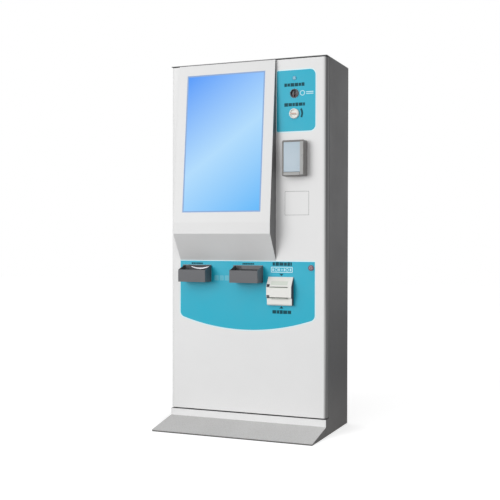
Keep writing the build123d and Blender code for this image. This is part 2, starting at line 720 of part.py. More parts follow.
def blanking_cover():
    """Flush cover of the spare module opening, with a rear lip behind the door's skin."""
    gap = BLANK_GAP
    x = (BLANK_LEFT + gap, BLANK_LEFT + BLANK_WIDTH - gap)
    z = (BLANK_BOTTOM + gap, BLANK_BOTTOM + BLANK_HEIGHT - gap)
    cover = block(x, (FRONT, FRONT + BODY_SHEET), z)
    lip = block(
        (x[0] - BLANK_LIP, x[1] + BLANK_LIP),
        (FRONT + BODY_SHEET, FRONT + 2 * BODY_SHEET),
        (z[0] - BLANK_LIP, z[1] + BLANK_LIP),
    )
    return cover + lip


def note_profile():
    """Side outline of the banknote bezel: brow, face and stepped lower lip."""
    return [
        (FRONT, NOTE_TOP),
        (FRONT - 4, NOTE_TOP),
        (FRONT - NOTE_REACH, NOTE_BROW + 8),
        (FRONT - NOTE_REACH, NOTE_STEP + 5),
        (FRONT - NOTE_LIP_REACH, NOTE_STEP - 3),
        (FRONT - NOTE_LIP_REACH, NOTE_BOTTOM + 5),
        (FRONT - NOTE_LIP_REACH + 5, NOTE_BOTTOM),
        (FRONT, NOTE_BOTTOM),
    ]


def note_slot_x():
    """Width range of the two banknote slots."""
    middle = NOTE_LEFT + NOTE_WIDTH / 2
    return middle - NOTE_SLOT_WIDTH / 2, middle + NOTE_SLOT_WIDTH / 2


def note_moulding(low, high):
    """Part of the bezel between the slots' ends, from one height to another."""
    x = note_slot_x()
    band = block(x, (FRONT - NOTE_REACH, FRONT), (low, high))
    return (prism_x(note_profile(), *x) & band).solid()


def note_bezel():
    """Brow, lower lip and the two end cheeks that frame the slots."""
    left, right = note_slot_x()
    slot = NOTE_SLOT / 2
    ends = []
    for x in ((NOTE_LEFT, left), (right, NOTE_LEFT + NOTE_WIDTH)):
        end = prism_x(note_profile(), *x)
        for top in note_lamp_tops():
            end -= note_lamp(top)
        ends.append(end.solid())
    brow = note_moulding(NOTE_INLET + slot, NOTE_TOP)
    lip = note_moulding(NOTE_BOTTOM, NOTE_STEP - slot)
    return Compound(children=[*ends, brow, lip])


def note_snout():
    """Middle moulding between the inlet slot and the return slot."""
    slot = NOTE_SLOT / 2
    return note_moulding(NOTE_STEP + slot, NOTE_INLET - slot)


NOTE_LAMP = 14.0
NOTE_LAMP_DEPTH = 14.0


def note_lamp_tops():
    """Top height of each guide lamp, which stands beside its slot's left end."""
    return NOTE_INLET + NOTE_LAMP, NOTE_STEP + NOTE_LAMP


def note_lamp(top):
    """Square guide lamp let into the bezel, flush with its slopes."""
    x = (NOTE_LEFT + 1.5, NOTE_LEFT + 1.5 + NOTE_LAMP)
    y = (FRONT - NOTE_REACH, FRONT - NOTE_REACH + NOTE_LAMP_DEPTH)
    return (block(x, y, (top - NOTE_LAMP, top)) & prism_x(note_profile(), *x)).solid()


def note_lamps():
    """Guide lamps of the two slots."""
    return Compound(children=[note_lamp(top) for top in note_lamp_tops()])


def tray(left):
    """Pocket with an open top, a back plate on the door and a throat through it."""
    right = left + TRAY_WIDTH
    plate = block((left - TRAY_EAR, right), (FRONT - TRAY_WALL, FRONT), (TRAY_BOTTOM, TRAY_BACK_TOP))
    side = [
        (FRONT, TRAY_BOTTOM),
        (FRONT - TRAY_REACH, TRAY_BOTTOM),
        (FRONT - TRAY_REACH, TRAY_FRONT_TOP),
        (FRONT, TRAY_BACK_TOP),
    ]
    pocket = prism_x(side, left, right)
    pocket -= block(
        (left + TRAY_WALL, right - TRAY_WALL),
        (FRONT - TRAY_REACH + TRAY_WALL, FRONT - TRAY_WALL),
        (TRAY_BOTTOM + TRAY_WALL, TRAY_BACK_TOP + 1),
    )
    x, z = tray_throat(left, -SEAT_GAP)
    throat = block(x, (FRONT, FRONT + THROAT_LENGTH), z)
    wall = TRAY_WALL
    way_y = (FRONT - wall - 1, FRONT + THROAT_LENGTH + 1)
    way = block((x[0] + wall, x[1] - wall), way_y, (z[0] + wall, z[1] - wall))
    return plate + pocket + throat - way


THROAT_LENGTH = 34.0


def coin_tray():
    """Coin return tray; the throat is open upwards under the payout duct."""
    x, z = tray_throat(COIN_TRAY_LEFT, -SEAT_GAP)
    roof = block(
        (x[0] + TRAY_WALL, x[1] - TRAY_WALL),
        (FRONT + 6, FRONT + THROAT_LENGTH - TRAY_WALL),
        (z[1] - TRAY_WALL - 1, z[1] + 1),
    )
    back = block(
        (x[0], x[1]), (FRONT + THROAT_LENGTH - TRAY_WALL, FRONT + THROAT_LENGTH), (z[0], z[1])
    )
    return tray(COIN_TRAY_LEFT) - roof + back


def coin_cup():
    """Scoop shaped liner in the coin tray, with a rounded rising back."""
    x = (COIN_TRAY_LEFT + TRAY_WALL + FIT_GAP, COIN_TRAY_LEFT + TRAY_WIDTH - TRAY_WALL - FIT_GAP)
    y = (FRONT - TRAY_REACH + TRAY_WALL + FIT_GAP, FRONT - TRAY_WALL - FIT_GAP)
    low = TRAY_BOTTOM + TRAY_WALL
    cup = block(x, y, (low, low + 22))
    middle = (y[0] + y[1]) / 2
    radius = (y[1] - y[0]) / 2 - 2
    scoop = rod("x", (middle, low + 2 + radius), radius, x[0] + 3, x[1] - 3)
    return cup - scoop


FLAP_HINGE_RADIUS = 2.5
FLAP_SHEET = 2.0


def flap_axis():
    """Hinge line of the ticket flap, (y, z)."""
    _, z = tray_throat(TICKET_TRAY_LEFT, -SEAT_GAP)
    return FRONT + THROAT_LENGTH - 8, z[1] - TRAY_WALL - FLAP_HINGE_RADIUS - 1.5


def ticket_tray():
    """Ticket tray; its throat carries the flap's pivot holes."""
    x, _ = tray_throat(TICKET_TRAY_LEFT, -SEAT_GAP)
    y, z = flap_axis()
    hole = rod("x", (y, z), FLAP_HINGE_RADIUS + HINGE_PIN_PLAY, x[0] - 1, x[1] + 1)
    return tray(TICKET_TRAY_LEFT) - hole


def ticket_flap():
    """Hanging flap that hides the ticket passage."""
    x, z = tray_throat(TICKET_TRAY_LEFT, -SEAT_GAP)
    y, top = flap_axis()
    inner = (x[0] + TRAY_WALL + 1, x[1] - TRAY_WALL - 1)
    leaf = block(inner, (y - FLAP_SHEET / 2, y + FLAP_SHEET / 2), (z[0] + TRAY_WALL + 2, top))
    return leaf + rod("x", (y, top), FLAP_HINGE_RADIUS, x[0], x[1])


# ---------------------------------------------------------------- lock and latch

def lock_body():
    """Collar and barrel of the door lock."""
    centre = (LOCK_X, LOCK_HEIGHT)
    body = rod("y", centre, LOCK_RADIUS, FRONT - 4, FRONT)
    body += rod("y", centre, LOCK_RADIUS - 2 - FIT_GAP, FRONT, FRONT + 22)
    return body - rod("y", centre, LOCK_PLUG_RADIUS + FIT_GAP, FRONT - 5, FRONT + 23)


KEYWAY = 2.5


def lock_plug():
    """Turning plug with its keyway, the cam arm behind it and the cam's pin."""
    centre = (LOCK_X, LOCK_HEIGHT)
    plug = rod("y", centre, LOCK_PLUG_RADIUS, FRONT - 5, FRONT + 23)
    key_x = (LOCK_X - KEYWAY / 2, LOCK_X + KEYWAY / 2)
    plug -= block(key_x, (FRONT - 6, FRONT + 12), (LOCK_HEIGHT - 5, LOCK_HEIGHT + 5))
    arm = Pos(CAM_ARM / 2, 0, 0) * Box(CAM_ARM + 8, 4, 10)
    arm = Pos(LOCK_X, FRONT + 25, LOCK_HEIGHT) * Rot(0, 45, 0) * arm
    reach = CAM_ARM * math.cos(math.radians(45))
    pin = rod("y", (LOCK_X + reach, LOCK_HEIGHT - reach), CAM_PIN_RADIUS, FRONT + 25, FRONT + 34)
    return plug + arm + pin


LATCH_Y = FRONT + 29.0
LATCH_LEFT = LOCK_X + 2.5
LATCH_LOW = 230.0
LATCH_HIGH = 1540.0
HOOK_ARM = 8.0
HOOK_FINGER = 26.0
HOOK_PLATE = 4.0
STRIKER_PLATE = 4.0


def hook_heights():
    """Underside of each latch hook, lock open."""
    return [LATCH_LOW + 60, (LATCH_LOW + LATCH_HIGH) / 2 + 60, LATCH_HIGH - 90]


def latch_bar():
    """Flat bar that the lock lifts, with its hooks."""
    y = (LATCH_Y, LATCH_Y + LATCH_BAR_THICK)
    right = LATCH_LEFT + LATCH_BAR_WIDTH
    bar = block((LATCH_LEFT, right), y, (LATCH_LOW, LATCH_HIGH))
    reach = CAM_ARM * math.cos(math.radians(45))
    low = LOCK_HEIGHT - reach - CAM_PIN_RADIUS - CAM_SLOT_PLAY
    high = LOCK_HEIGHT - reach + CAM_PIN_RADIUS + CAM_SLOT_PLAY
    slot_x = (LOCK_X + reach - CAM_PIN_RADIUS - 1, LOCK_X + CAM_ARM + CAM_PIN_RADIUS + 1)
    bar -= block(slot_x, (y[0] - 1, y[1] + 1), (low, high))
    finger_y = CARCASS_FRONT + STRIKER_PLATE + 5
    for height in hook_heights():
        bar += block((right - 12, right), (y[1], finger_y + HOOK_PLATE), (height, height + HOOK_ARM))
        bar += block((right - 12, right), (finger_y, finger_y + HOOK_PLATE), (height, height + HOOK_FINGER))
    return bar


def latch_guides():
    """Guides that hold the latch bar on the door."""
    guides = []
    play = SEAT_GAP
    right = LATCH_LEFT + LATCH_BAR_WIDTH
    for height in (LATCH_LOW + 20, LOCK_HEIGHT - 90, LOCK_HEIGHT + 70, LATCH_HIGH - 30):
        guide = block(
            (LATCH_LEFT - 5, right + 5),
            (FRONT + BODY_SHEET, LATCH_Y + LATCH_BAR_THICK + 4),
            (height - 8, height + 8),
        )
        channel_y = (LATCH_Y - play, LATCH_Y + LATCH_BAR_THICK + play)
        channel = block((LATCH_LEFT - play, right + play), channel_y, (height - 9, height + 9))
        guides.append((guide - channel).solid())
    return Compound(children=guides)


def strikers():
    """Plates on the front frame that the hooks rise behind."""
    plates = []
    edge = INNER_X - FRAME_FACE
    for height in hook_heights():
        z = (height + HOOK_FINGER + 2.5, height + HOOK_FINGER + 30)
        y = (CARCASS_FRONT + 1, CARCASS_FRONT + 1 + STRIKER_PLATE)
        plate = block((LATCH_LEFT + LATCH_BAR_WIDTH - 14, edge), y, z)
        plate += block((edge - 3, edge), (y[0], y[0] + FRAME_DEPTH - 3), z)
        plates.append(plate.solid())
    return Compound(children=plates)


# ---------------------------------------------------------------- coin hopper on the door

HOPPER_X = COIN_TRAY_LEFT + TRAY_WIDTH / 2
HOPPER_WIDTH = 150.0
HOPPER_DEPTH = 110.0
HOPPER_HEIGHT = 130.0
HOPPER_FRONT = FRONT + 16.0
COIN_SHELF_HEIGHT = 800.0
COIN_SHELF_SHEET = 3.0
HOPPER_TOP = COIN_SHELF_HEIGHT + COIN_SHELF_SHEET + HOPPER_HEIGHT
CHUTE_DROP = 5.0
DISC_RADIUS = 46.0
DISC_THICK = 6.0
DISC_PLAY = 1.0
DISC_SHAFT = 5.0
DISC_POCKETS = 5


def hopper_centre():
    """Middle of the hopper in X and Y."""
    return HOPPER_X, HOPPER_FRONT + HOPPER_DEPTH / 2


def coin_shelf():
    """Bracket on the door that carries the hopper, with the payout hole."""
    x = (HOPPER_X - HOPPER_WIDTH / 2 - 4, HOPPER_X + HOPPER_WIDTH / 2 + 4)
    low = COIN_SHELF_HEIGHT
    shelf = block(x, (FRONT + BODY_SHEET, HOPPER_FRONT + HOPPER_DEPTH + 4), (low, low + COIN_SHELF_SHEET))
    for side in (x[0], x[1] - COIN_SHELF_SHEET):
        gusset_y = (FRONT + BODY_SHEET, HOPPER_FRONT + 50)
        gusset = block((side, side + COIN_SHELF_SHEET), gusset_y, (low - 34, low))
        shelf += gusset
    hole_y = (FRONT + 8, HOPPER_FRONT + 16)
    return shelf - block((HOPPER_X - 30, HOPPER_X + 30), hole_y, (low - 1, low + COIN_SHELF_SHEET + 1))


def coin_hopper():
    """Open topped coin hopper with a round well for its disc."""
    cx, cy = hopper_centre()
    x = (cx - HOPPER_WIDTH / 2, cx + HOPPER_WIDTH / 2)
    y = (HOPPER_FRONT, HOPPER_FRONT + HOPPER_DEPTH)
    low = COIN_SHELF_HEIGHT + COIN_SHELF_SHEET
    body = block(x, y, (low, HOPPER_TOP))
    body -= block((x[0] + 3, x[1] - 3), (y[0] + 3, y[1] - 3), (low + 40, HOPPER_TOP + 1))
    body -= rod("z", (cx, cy), DISC_RADIUS + DISC_PLAY, low + 24, low + 41)
    body -= rod("z", (cx, cy), DISC_SHAFT + HINGE_PIN_PLAY, low + 6, low + 25)
    return body - block((cx - 25, cx + 25), (y[0] - 1, y[0] + 14), (low - 1, low + 34))


def hopper_disc():
    """Pocketed disc that lifts coins out one by one."""
    cx, cy = hopper_centre()
    low = COIN_SHELF_HEIGHT + COIN_SHELF_SHEET + 24 + DISC_PLAY
    disc = rod("z", (cx, cy), DISC_RADIUS, low, low + DISC_THICK)
    for index in range(DISC_POCKETS):
        turn = Rot(0, 0, 360 / DISC_POCKETS * index)
        disc -= Pos(cx, cy, low) * turn * Pos(DISC_RADIUS - 17, 0, 0) * Cylinder(14, 4 * DISC_THICK)
    cone = Pos(cx, cy, low + DISC_THICK + 5) * Cone(12, 4, 10)
    return disc + cone + rod("z", (cx, cy), DISC_SHAFT, low - DISC_PLAY - 16, low)


def payout_duct():
    """Short duct from the hopper down to the coin tray's throat."""
    _, z = tray_throat(COIN_TRAY_LEFT, -SEAT_GAP)
    y = (FRONT + 5, FRONT + THROAT_LENGTH - 1)
    duct_z = (z[1] + FIT_GAP, COIN_SHELF_HEIGHT)
    duct = block((HOPPER_X - 34, HOPPER_X + 34), y, duct_z)
    return duct - block((HOPPER_X - 32, HOPPER_X + 32), (y[0] + 2, y[1] - 2), (duct_z[0] - 1, duct_z[1] + 1))


# ---------------------------------------------------------------- equipment shelf and banknote unit

SHELF_HEIGHT = 540.0
SHELF_SHEET = 3.0
SHELF_LIP = 18.0


def equipment_shelf():
    """Shelf across the cabinet with lips down at both ends and at its front."""
    y = (CARCASS_FRONT + FRAME_DEPTH + 2, INNER_BACK - PLINTH_FLANGE / 2)
    z = (SHELF_HEIGHT, SHELF_HEIGHT + SHELF_SHEET)
    shelf = block((-INNER_X, INNER_X), y, z)
    lip = (SHELF_HEIGHT - SHELF_LIP, SHELF_HEIGHT)
    shelf += block((-INNER_X, -INNER_X + SHELF_SHEET), y, lip)
    shelf += block((INNER_X - SHELF_SHEET, INNER_X), y, lip)
    return shelf + block((-INNER_X, INNER_X), (y[0], y[0] + SHELF_SHEET), lip)


UNIT_FRONT = DOOR_BACK + 9.0
UNIT_BACK = 30.0
UNIT_WALL = 3.0
ROLLER_RADIUS = 9.0
ROLLER_SHAFT = 3.0
ROLLER_NIP = 0.8


def unit_x():
    """Width range of the banknote unit."""
    return NOTE_LEFT, NOTE_LEFT + NOTE_WIDTH


def roller_places():
    """Roller shaft centres above and below the note path, (y, z)."""
    y = UNIT_FRONT + 40
    reach = ROLLER_RADIUS + ROLLER_NIP / 2
    return (y, NOTE_INLET + reach), (y, NOTE_INLET - reach)


def note_unit():
    """Banknote unit: open fronted box on the shelf that carries the rollers."""
    x = unit_x()
    low = SHELF_HEIGHT + SHELF_SHEET
    body = open_box(x, (UNIT_FRONT, UNIT_BACK), (low, NOTE_TOP + 20), UNIT_WALL, "-y")
    body += block(
        (x[0] + UNIT_WALL, x[1] - UNIT_WALL),
        (UNIT_FRONT + 60, UNIT_BACK - UNIT_WALL),
        (low + UNIT_WALL, NOTE_STEP - 20),
    )
    for y, z in roller_places():
        body -= rod("x", (y, z), ROLLER_SHAFT + HINGE_PIN_PLAY, x[0] - 1, x[1] + 1)
    return body


def note_roller(place):
    """Rubber covered feed roller on its shaft."""
    x = unit_x()
    drum = rod("x", place, ROLLER_RADIUS, x[0] + UNIT_WALL + 2, x[1] - UNIT_WALL - 2)
    return drum + rod("x", place, ROLLER_SHAFT, x[0] - 0.5, x[1] + 0.5)


def note_cassette():
    """Banknote cassette behind the unit, lifted out upwards by its handle."""
    x = unit_x()
    low = SHELF_HEIGHT + SHELF_SHEET
    y = (UNIT_BACK + FIT_GAP, UNIT_BACK + 95)
    top = NOTE_TOP + 40
    box = open_box((x[0] + 3, x[1] - 3), y, (low + FIT_GAP, top), 2.5, "-y")
    grip = block((x[0] + 25, x[1] - 25), (y[0] + 35, y[0] + 50), (top, top + 30))
    return box + grip - block((x[0] + 33, x[1] - 33), (y[0] + 30, y[0] + 60), (top, top + 22))


# ---------------------------------------------------------------- ticket printer

PRINTER_LEFT = TICKET_TRAY_LEFT + 5.0
PRINTER_WIDTH = 128.0
PRINTER_BASE = 690.0
PRINTER_TOP = 780.0
PRINTER_BACK = 20.0
PLATEN_RADIUS = 9.0
PAPER_RADIUS = 62.0
PAPER_WIDTH = 80.0
SPINDLE_RADIUS = 8.0


def printer_x():
    """Width range of the printer."""
    return PRINTER_LEFT, PRINTER_LEFT + PRINTER_WIDTH


def platen_place():
    """Platen shaft centre, (y, z)."""
    return UNIT_FRONT + 20, PRINTER_BASE + 48


def paper_place():
    """Paper roll centre, (y, z)."""
    return PRINTER_BACK - PAPER_RADIUS - 8, PRINTER_TOP + PAPER_RADIUS + 10


def printer_stand():
    """Bridge that lifts the printer to the tray's height."""
    x = printer_x()
    y = (UNIT_FRONT + 28, PRINTER_BACK)
    low = SHELF_HEIGHT + SHELF_SHEET
    stand = block(x, y, (low, PRINTER_BASE))
    return stand - block((x[0] + 3, x[1] - 3), (y[0] - 1, y[1] + 1), (low - 1, PRINTER_BASE - 3))


def printer_body():
    """Printer chassis with cheeks for the platen and the paper spindle."""
    x = printer_x()
    y = (UNIT_FRONT, PRINTER_BACK)
    tub = block(x, y, (PRINTER_BASE, PRINTER_TOP))
    tub -= block((x[0] + 3, x[1] - 3), (y[0] - 1, y[1] - 3), (PRINTER_BASE + 3, PRINTER_TOP + 1))
    tub += block((x[0] + 3, x[1] - 3), (y[0] + 45, y[1] - 20), (PRINTER_BASE + 3, PRINTER_BASE + 40))
    py, pz = paper_place()
    for side in (x[0], x[1] - 3):
        arm = block((side, side + 3), (py - 14, py + 14), (PRINTER_TOP, pz + 14))
        tub += arm
    tub += rod("x", (py, pz), SPINDLE_RADIUS, x[0], x[1])
    place = platen_place()
    return tub - rod("x", place, ROLLER_SHAFT + HINGE_PIN_PLAY, x[0] - 1, x[1] + 1)


def platen_roller():
    """Platen that feeds the ticket stock out."""
    x = printer_x()
    place = platen_place()
    drum = rod("x", place, PLATEN_RADIUS, x[0] + 8, x[1] - 8)
    return drum + rod("x", place, ROLLER_SHAFT, x[0] - 0.5, x[1] + 0.5)


def paper_roll():
    """Roll of ticket stock on the spindle."""
    x = printer_x()
    middle = (x[0] + x[1]) / 2
    half = PAPER_WIDTH / 2
    roll = rod("x", paper_place(), PAPER_RADIUS, middle - half, middle + half)
    bore = SPINDLE_RADIUS + HINGE_PIN_PLAY
    return roll - rod("x", paper_place(), bore, middle - half - 1, middle + half + 1)


# ---------------------------------------------------------------- cash box and electronics

CASH_LEFT = -320.0
CASH_WIDTH = 240.0
CASH_HEIGHT = 150.0
CASH_FRONT = CARCASS_FRONT + FRAME_DEPTH + 8.0
CASH_DEPTH = 200.0
RUNNER = 36.0


def cash_runners():
    """Pair of floor rails that the cash box slides on."""
    rails = []
    y = (CASH_FRONT - 4, INNER_BACK - PLINTH_FLANGE)
    for x in (CASH_LEFT + 20, CASH_LEFT + CASH_WIDTH - 20):
        rails.append(block((x - 12, x + 12), y, (BASE_SHEET, PLINTH_HEIGHT + RUNNER)))
    return Compound(children=[rail.solid() for rail in rails])


def cash_box():
    """Lidded coin vault with a folding pull handle opening at its front."""
    low = PLINTH_HEIGHT + RUNNER + FIT_GAP
    x = (CASH_LEFT, CASH_LEFT + CASH_WIDTH)
    y = (CASH_FRONT, CASH_FRONT + CASH_DEPTH)
    box = open_box(x, y, (low, low + CASH_HEIGHT), 2, "+z")
    grip = block((x[0] + 70, x[1] - 70), (y[0] - 24, y[0]), (low + 90, low + 104))
    return box + grip - block((x[0] + 80, x[1] - 80), (y[0] - 16, y[0]), (low + 80, low + 110))


def control_box():
    """Steel box of the control computer on the back panel, its bottom open for cables."""
    return open_box((-330, -30), (INNER_BACK - 80, INNER_BACK), (1100, 1390), 1.5, "-z")


def power_supply():
    """Power supply on the back panel, open below."""
    return open_box((70, 290), (INNER_BACK - 62, INNER_BACK), (1140, 1280), 1.5, "-z")


FAN_SIZE = 120.0
FAN_DEPTH = 30.0
FAN_HUB = 20.0
FAN_BLADES = 7


def fan_housing():
    """Square fan frame behind the upper vents, with its hub spider."""
    half = FAN_SIZE / 2
    y = (INNER_BACK - FAN_DEPTH, INNER_BACK)
    frame = block((FAN_X - half, FAN_X + half), y, (FAN_HEIGHT - half, FAN_HEIGHT + half))
    frame -= rod("y", (FAN_X, FAN_HEIGHT), half - 3, y[0] - 1, y[1] + 1)
    spider = block((FAN_X - half + 1, FAN_X + half - 1), (y[1] - 4, y[1]), (FAN_HEIGHT - 4, FAN_HEIGHT + 4))
    post = rod("y", (FAN_X, FAN_HEIGHT), 3, y[0] + 6, y[1])
    return frame + spider + post


def fan_rotor():
    """Hub and blades."""
    y = (INNER_BACK - FAN_DEPTH + 3, INNER_BACK - 6)
    hub = rod("y", (FAN_X, FAN_HEIGHT), FAN_HUB, *y)
    length = FAN_SIZE / 2 - 6 - FAN_HUB + 3
    for index in range(FAN_BLADES):
        blade = Pos(FAN_HUB - 3 + length / 2, 0, 0) * Rot(35, 0, 0) * Box(length, 20, 2)
        hub += Pos(FAN_X, (y[0] + y[1]) / 2, FAN_HEIGHT) * Rot(0, 360 / FAN_BLADES * index, 0) * blade
    return hub - rod("y", (FAN_X, FAN_HEIGHT), 3 + HINGE_PIN_PLAY, y[0] + 2, y[1] + 1)


# ---------------------------------------------------------------- write every node

SINGLE = [
    base_frame, kick_plate, ramp_body, ramp_tread, roof_cap, back_panel, cable_gland, front_frame,
    door_seal, hinge_frame_leaves, hinge_door_leaves, hood_front, hood_cheeks, display_glass,
    display_module, display_rails, door_panel, upper_overlay, lower_overlay, status_lamp, coin_inlet,
    coin_selector, coin_chute, coin_return_knob, card_reader_case, card_reader_pad, blanking_cover,
    note_bezel, note_snout, note_lamps, coin_tray, coin_cup, ticket_tray, ticket_flap, lock_body, lock_plug, latch_bar,
    latch_guides, strikers, coin_shelf, coin_hopper, hopper_disc, payout_duct, equipment_shelf,
    note_unit, note_cassette, printer_stand, printer_body, platen_roller, paper_roll, cash_runners,
    cash_box, control_box, power_supply, fan_housing, fan_rotor,
]

for piece in SINGLE:
    save(piece.__name__, piece())

save("side_panel_left", side_panel(-1))
save("side_panel_right", side_panel(1))
upper_roller, lower_roller = roller_places()
save("note_roller_upper", note_roller(upper_roller))
save("note_roller_lower", note_roller(lower_roller))
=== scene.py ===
import bpy
import bmesh
import math
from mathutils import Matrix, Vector


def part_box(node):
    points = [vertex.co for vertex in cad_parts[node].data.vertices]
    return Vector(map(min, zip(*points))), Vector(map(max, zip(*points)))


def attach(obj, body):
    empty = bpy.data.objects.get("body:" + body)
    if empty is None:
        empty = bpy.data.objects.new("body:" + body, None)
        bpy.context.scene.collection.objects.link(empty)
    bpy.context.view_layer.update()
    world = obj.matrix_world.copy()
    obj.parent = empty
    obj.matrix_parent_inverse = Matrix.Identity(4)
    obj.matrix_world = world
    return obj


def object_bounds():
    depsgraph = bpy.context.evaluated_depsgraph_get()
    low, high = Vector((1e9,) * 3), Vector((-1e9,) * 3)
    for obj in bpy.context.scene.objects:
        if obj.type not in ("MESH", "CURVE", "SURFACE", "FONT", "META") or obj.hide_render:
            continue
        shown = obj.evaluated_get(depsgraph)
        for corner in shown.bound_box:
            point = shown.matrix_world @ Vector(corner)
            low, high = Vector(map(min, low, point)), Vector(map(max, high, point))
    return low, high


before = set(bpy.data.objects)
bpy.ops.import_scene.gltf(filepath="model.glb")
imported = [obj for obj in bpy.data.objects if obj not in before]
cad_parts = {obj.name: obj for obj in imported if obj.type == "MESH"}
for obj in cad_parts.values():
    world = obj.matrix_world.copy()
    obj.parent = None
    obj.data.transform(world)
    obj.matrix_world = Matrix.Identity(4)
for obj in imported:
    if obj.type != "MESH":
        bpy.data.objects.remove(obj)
cad_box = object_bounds()

# ---------------------------------------------------------------------------------------------
# Cabinet carcass: bent steel sheet, powder coated dark grey in one batch with the base, roof and
# back. The coat has a fine orange peel, a little cloudiness, and dust that gathers near the floor.

DARK_COAT = (0.074, 0.074, 0.076, 1)
ROOF_COAT = (0.16, 0.16, 0.163, 1)
SEAM_COAT = (0.22, 0.22, 0.22, 1)
DUST = (0.33, 0.31, 0.28, 1)
DUST_HEIGHT = 0.28
NOISE_LOW, NOISE_HIGH = 0.3, 0.7
BEVEL_LIMIT = 50
SHEET_EDGE = 0.0008
FOLD_EDGE = 0.0006
LOOK_OUTPUTS = [("Color", "Color", None), ("Roughness", "Float", None), ("Height", "Float", None)]


def shader_group(name, inputs, outputs):
    """A node group with named sockets; each is (name, kind, value)."""
    group = bpy.data.node_groups.new(name, "ShaderNodeTree")
    for side, sockets in (("INPUT", inputs), ("OUTPUT", outputs)):
        for label, kind, value in sockets:
            kind = "NodeSocket" + kind
            socket = group.interface.new_socket(name=label, in_out=side, socket_type=kind)
            if value is not None:
                socket.default_value = value
    ends = group.nodes.new("NodeGroupInput"), group.nodes.new("NodeGroupOutput")
    return group, ends[0], ends[1]


def node(tree, kind, links=None, **settings):
    """Adds a node; settings are attributes, links are socket name or index to a value or output."""
    made = tree.nodes.new("ShaderNode" + kind)
    for key, value in settings.items():
        setattr(made, key, value)
    for key, value in (links or {}).items():
        if isinstance(value, bpy.types.NodeSocket):
            tree.links.new(value, made.inputs[key])
        else:
            made.inputs[key].default_value = value
    return made


def blend_colour(tree, amount, first, second, mode="MIX"):
    """Colour mix, its result socket."""
    mix = node(tree, "Mix", data_type="RGBA", blend_type=mode)
    for index, value in ((0, amount), (6, first), (7, second)):
        if isinstance(value, bpy.types.NodeSocket):
            tree.links.new(value, mix.inputs[index])
        else:
            mix.inputs[index].default_value = value
    return mix.outputs[2]


def remap(tree, value, low, high, new_low, new_high):
    """Value moved from one range to another and held there."""
    made = node(tree, "MapRange", {"Value": value, "From Min": low, "From Max": high})
    made.inputs["To Min"].default_value = new_low
    made.inputs["To Max"].default_value = new_high
    return made.outputs["Result"]


def toned(group, given, noise, amount):
    """The group's paint made lighter and darker by a noise, as far as the named socket says."""
    tone = remap(group, noise, NOISE_LOW, NOISE_HIGH, -1.0, 1.0)
    lift = node(group, "Math", {0: tone, 1: given.outputs[amount]}, operation="MULTIPLY").outputs[0]
    lift = node(group, "Math", {0: lift, 1: 1.0}, operation="ADD").outputs[0]
    paint = {0: given.outputs["Paint"], "Scale": lift}
    return node(group, "VectorMath", paint, operation="SCALE").outputs[0]


def gloss_between(group, given, noise):
    """Roughness that wanders with a noise between the group's two gloss sockets."""
    ends = {"To Min": given.outputs["Gloss Low"], "To Max": given.outputs["Gloss High"]}
    links = {"Value": noise, "From Min": NOISE_LOW, "From Max": NOISE_HIGH, **ends}
    return node(group, "MapRange", links).outputs[0]


def hand_out(group, result, colour, roughness, height):
    """Connects the three outputs of a finish group and returns the group."""
    for label, socket in (("Color", colour), ("Roughness", roughness), ("Height", height)):
        group.links.new(socket, result.inputs[label])
    return group


def build_powder_coat():
    """Sprayed powder coat: peel height, cloudy colour, floor dust and uneven gloss."""
    inputs = [
        ("Paint", "Color", (0.5, 0.5, 0.5, 1)),
        ("Cloud", "Float", 0.05),
        ("Peel Scale", "Float", 900.0),
        ("Gloss Low", "Float", 0.38),
        ("Gloss High", "Float", 0.52),
        ("Dust", "Float", 0.3),
    ]
    group, given, result = shader_group("powder_coat", inputs, LOOK_OUTPUTS)
    place = node(group, "TexCoord").outputs["Object"]
    peel_scale = given.outputs["Peel Scale"]
    peel = node(group, "TexNoise", {"Vector": place, "Scale": peel_scale, "Detail": 3.0})
    wide = {"Vector": place, "Scale": 3.2, "Detail": 6.0, "Roughness": 0.62}
    cloud = node(group, "TexNoise", wide).outputs["Fac"]
    speck = node(group, "TexNoise", {"Vector": place, "Scale": 240.0, "Detail": 2.0})
    height = node(group, "SeparateXYZ", {"Vector": place}).outputs["Z"]
    near_floor = remap(group, height, 0.0, DUST_HEIGHT, 1.0, 0.0)
    patch = remap(group, speck.outputs["Fac"], 0.42, 0.62, 0.25, 1.0)
    dust = node(group, "Math", {0: near_floor, 1: patch}, operation="MULTIPLY").outputs[0]
    dust = node(group, "Math", {0: dust, 1: given.outputs["Dust"]}, operation="MULTIPLY").outputs[0]
    colour = blend_colour(group, dust, toned(group, given, cloud, "Cloud"), DUST)
    gloss = {0: gloss_between(group, given, cloud), 1: dust}
    rough = node(group, "Math", gloss, operation="ADD", use_clamp=True).outputs[0]
    return hand_out(group, result, colour, rough, peel.outputs["Fac"])


POWDER_COAT = build_powder_coat()


def finish(name, group, values, bump=0.1, bump_size=0.0004, **shader):
    """Material that takes colour, roughness and height from a group; shader sets plain sockets."""
    made = bpy.data.materials.new(name)
    made.use_nodes = True
    tree = made.node_tree
    principled = tree.nodes["Principled BSDF"]
    effect = tree.nodes.new("ShaderNodeGroup")
    effect.node_tree = group
    for key, value in values.items():
        effect.inputs[key].default_value = value
    tree.links.new(effect.outputs["Color"], principled.inputs["Base Color"])
    tree.links.new(effect.outputs["Roughness"], principled.inputs["Roughness"])
    links = {"Height": effect.outputs["Height"], "Strength": bump, "Distance": bump_size}
    tree.links.new(node(tree, "Bump", links).outputs["Normal"], principled.inputs["Normal"])
    for key, value in shader.items():
        principled.inputs[key.replace("_", " ")].default_value = value
    made.diffuse_color = values.get("Paint", (0.5, 0.5, 0.5, 1))
    return made


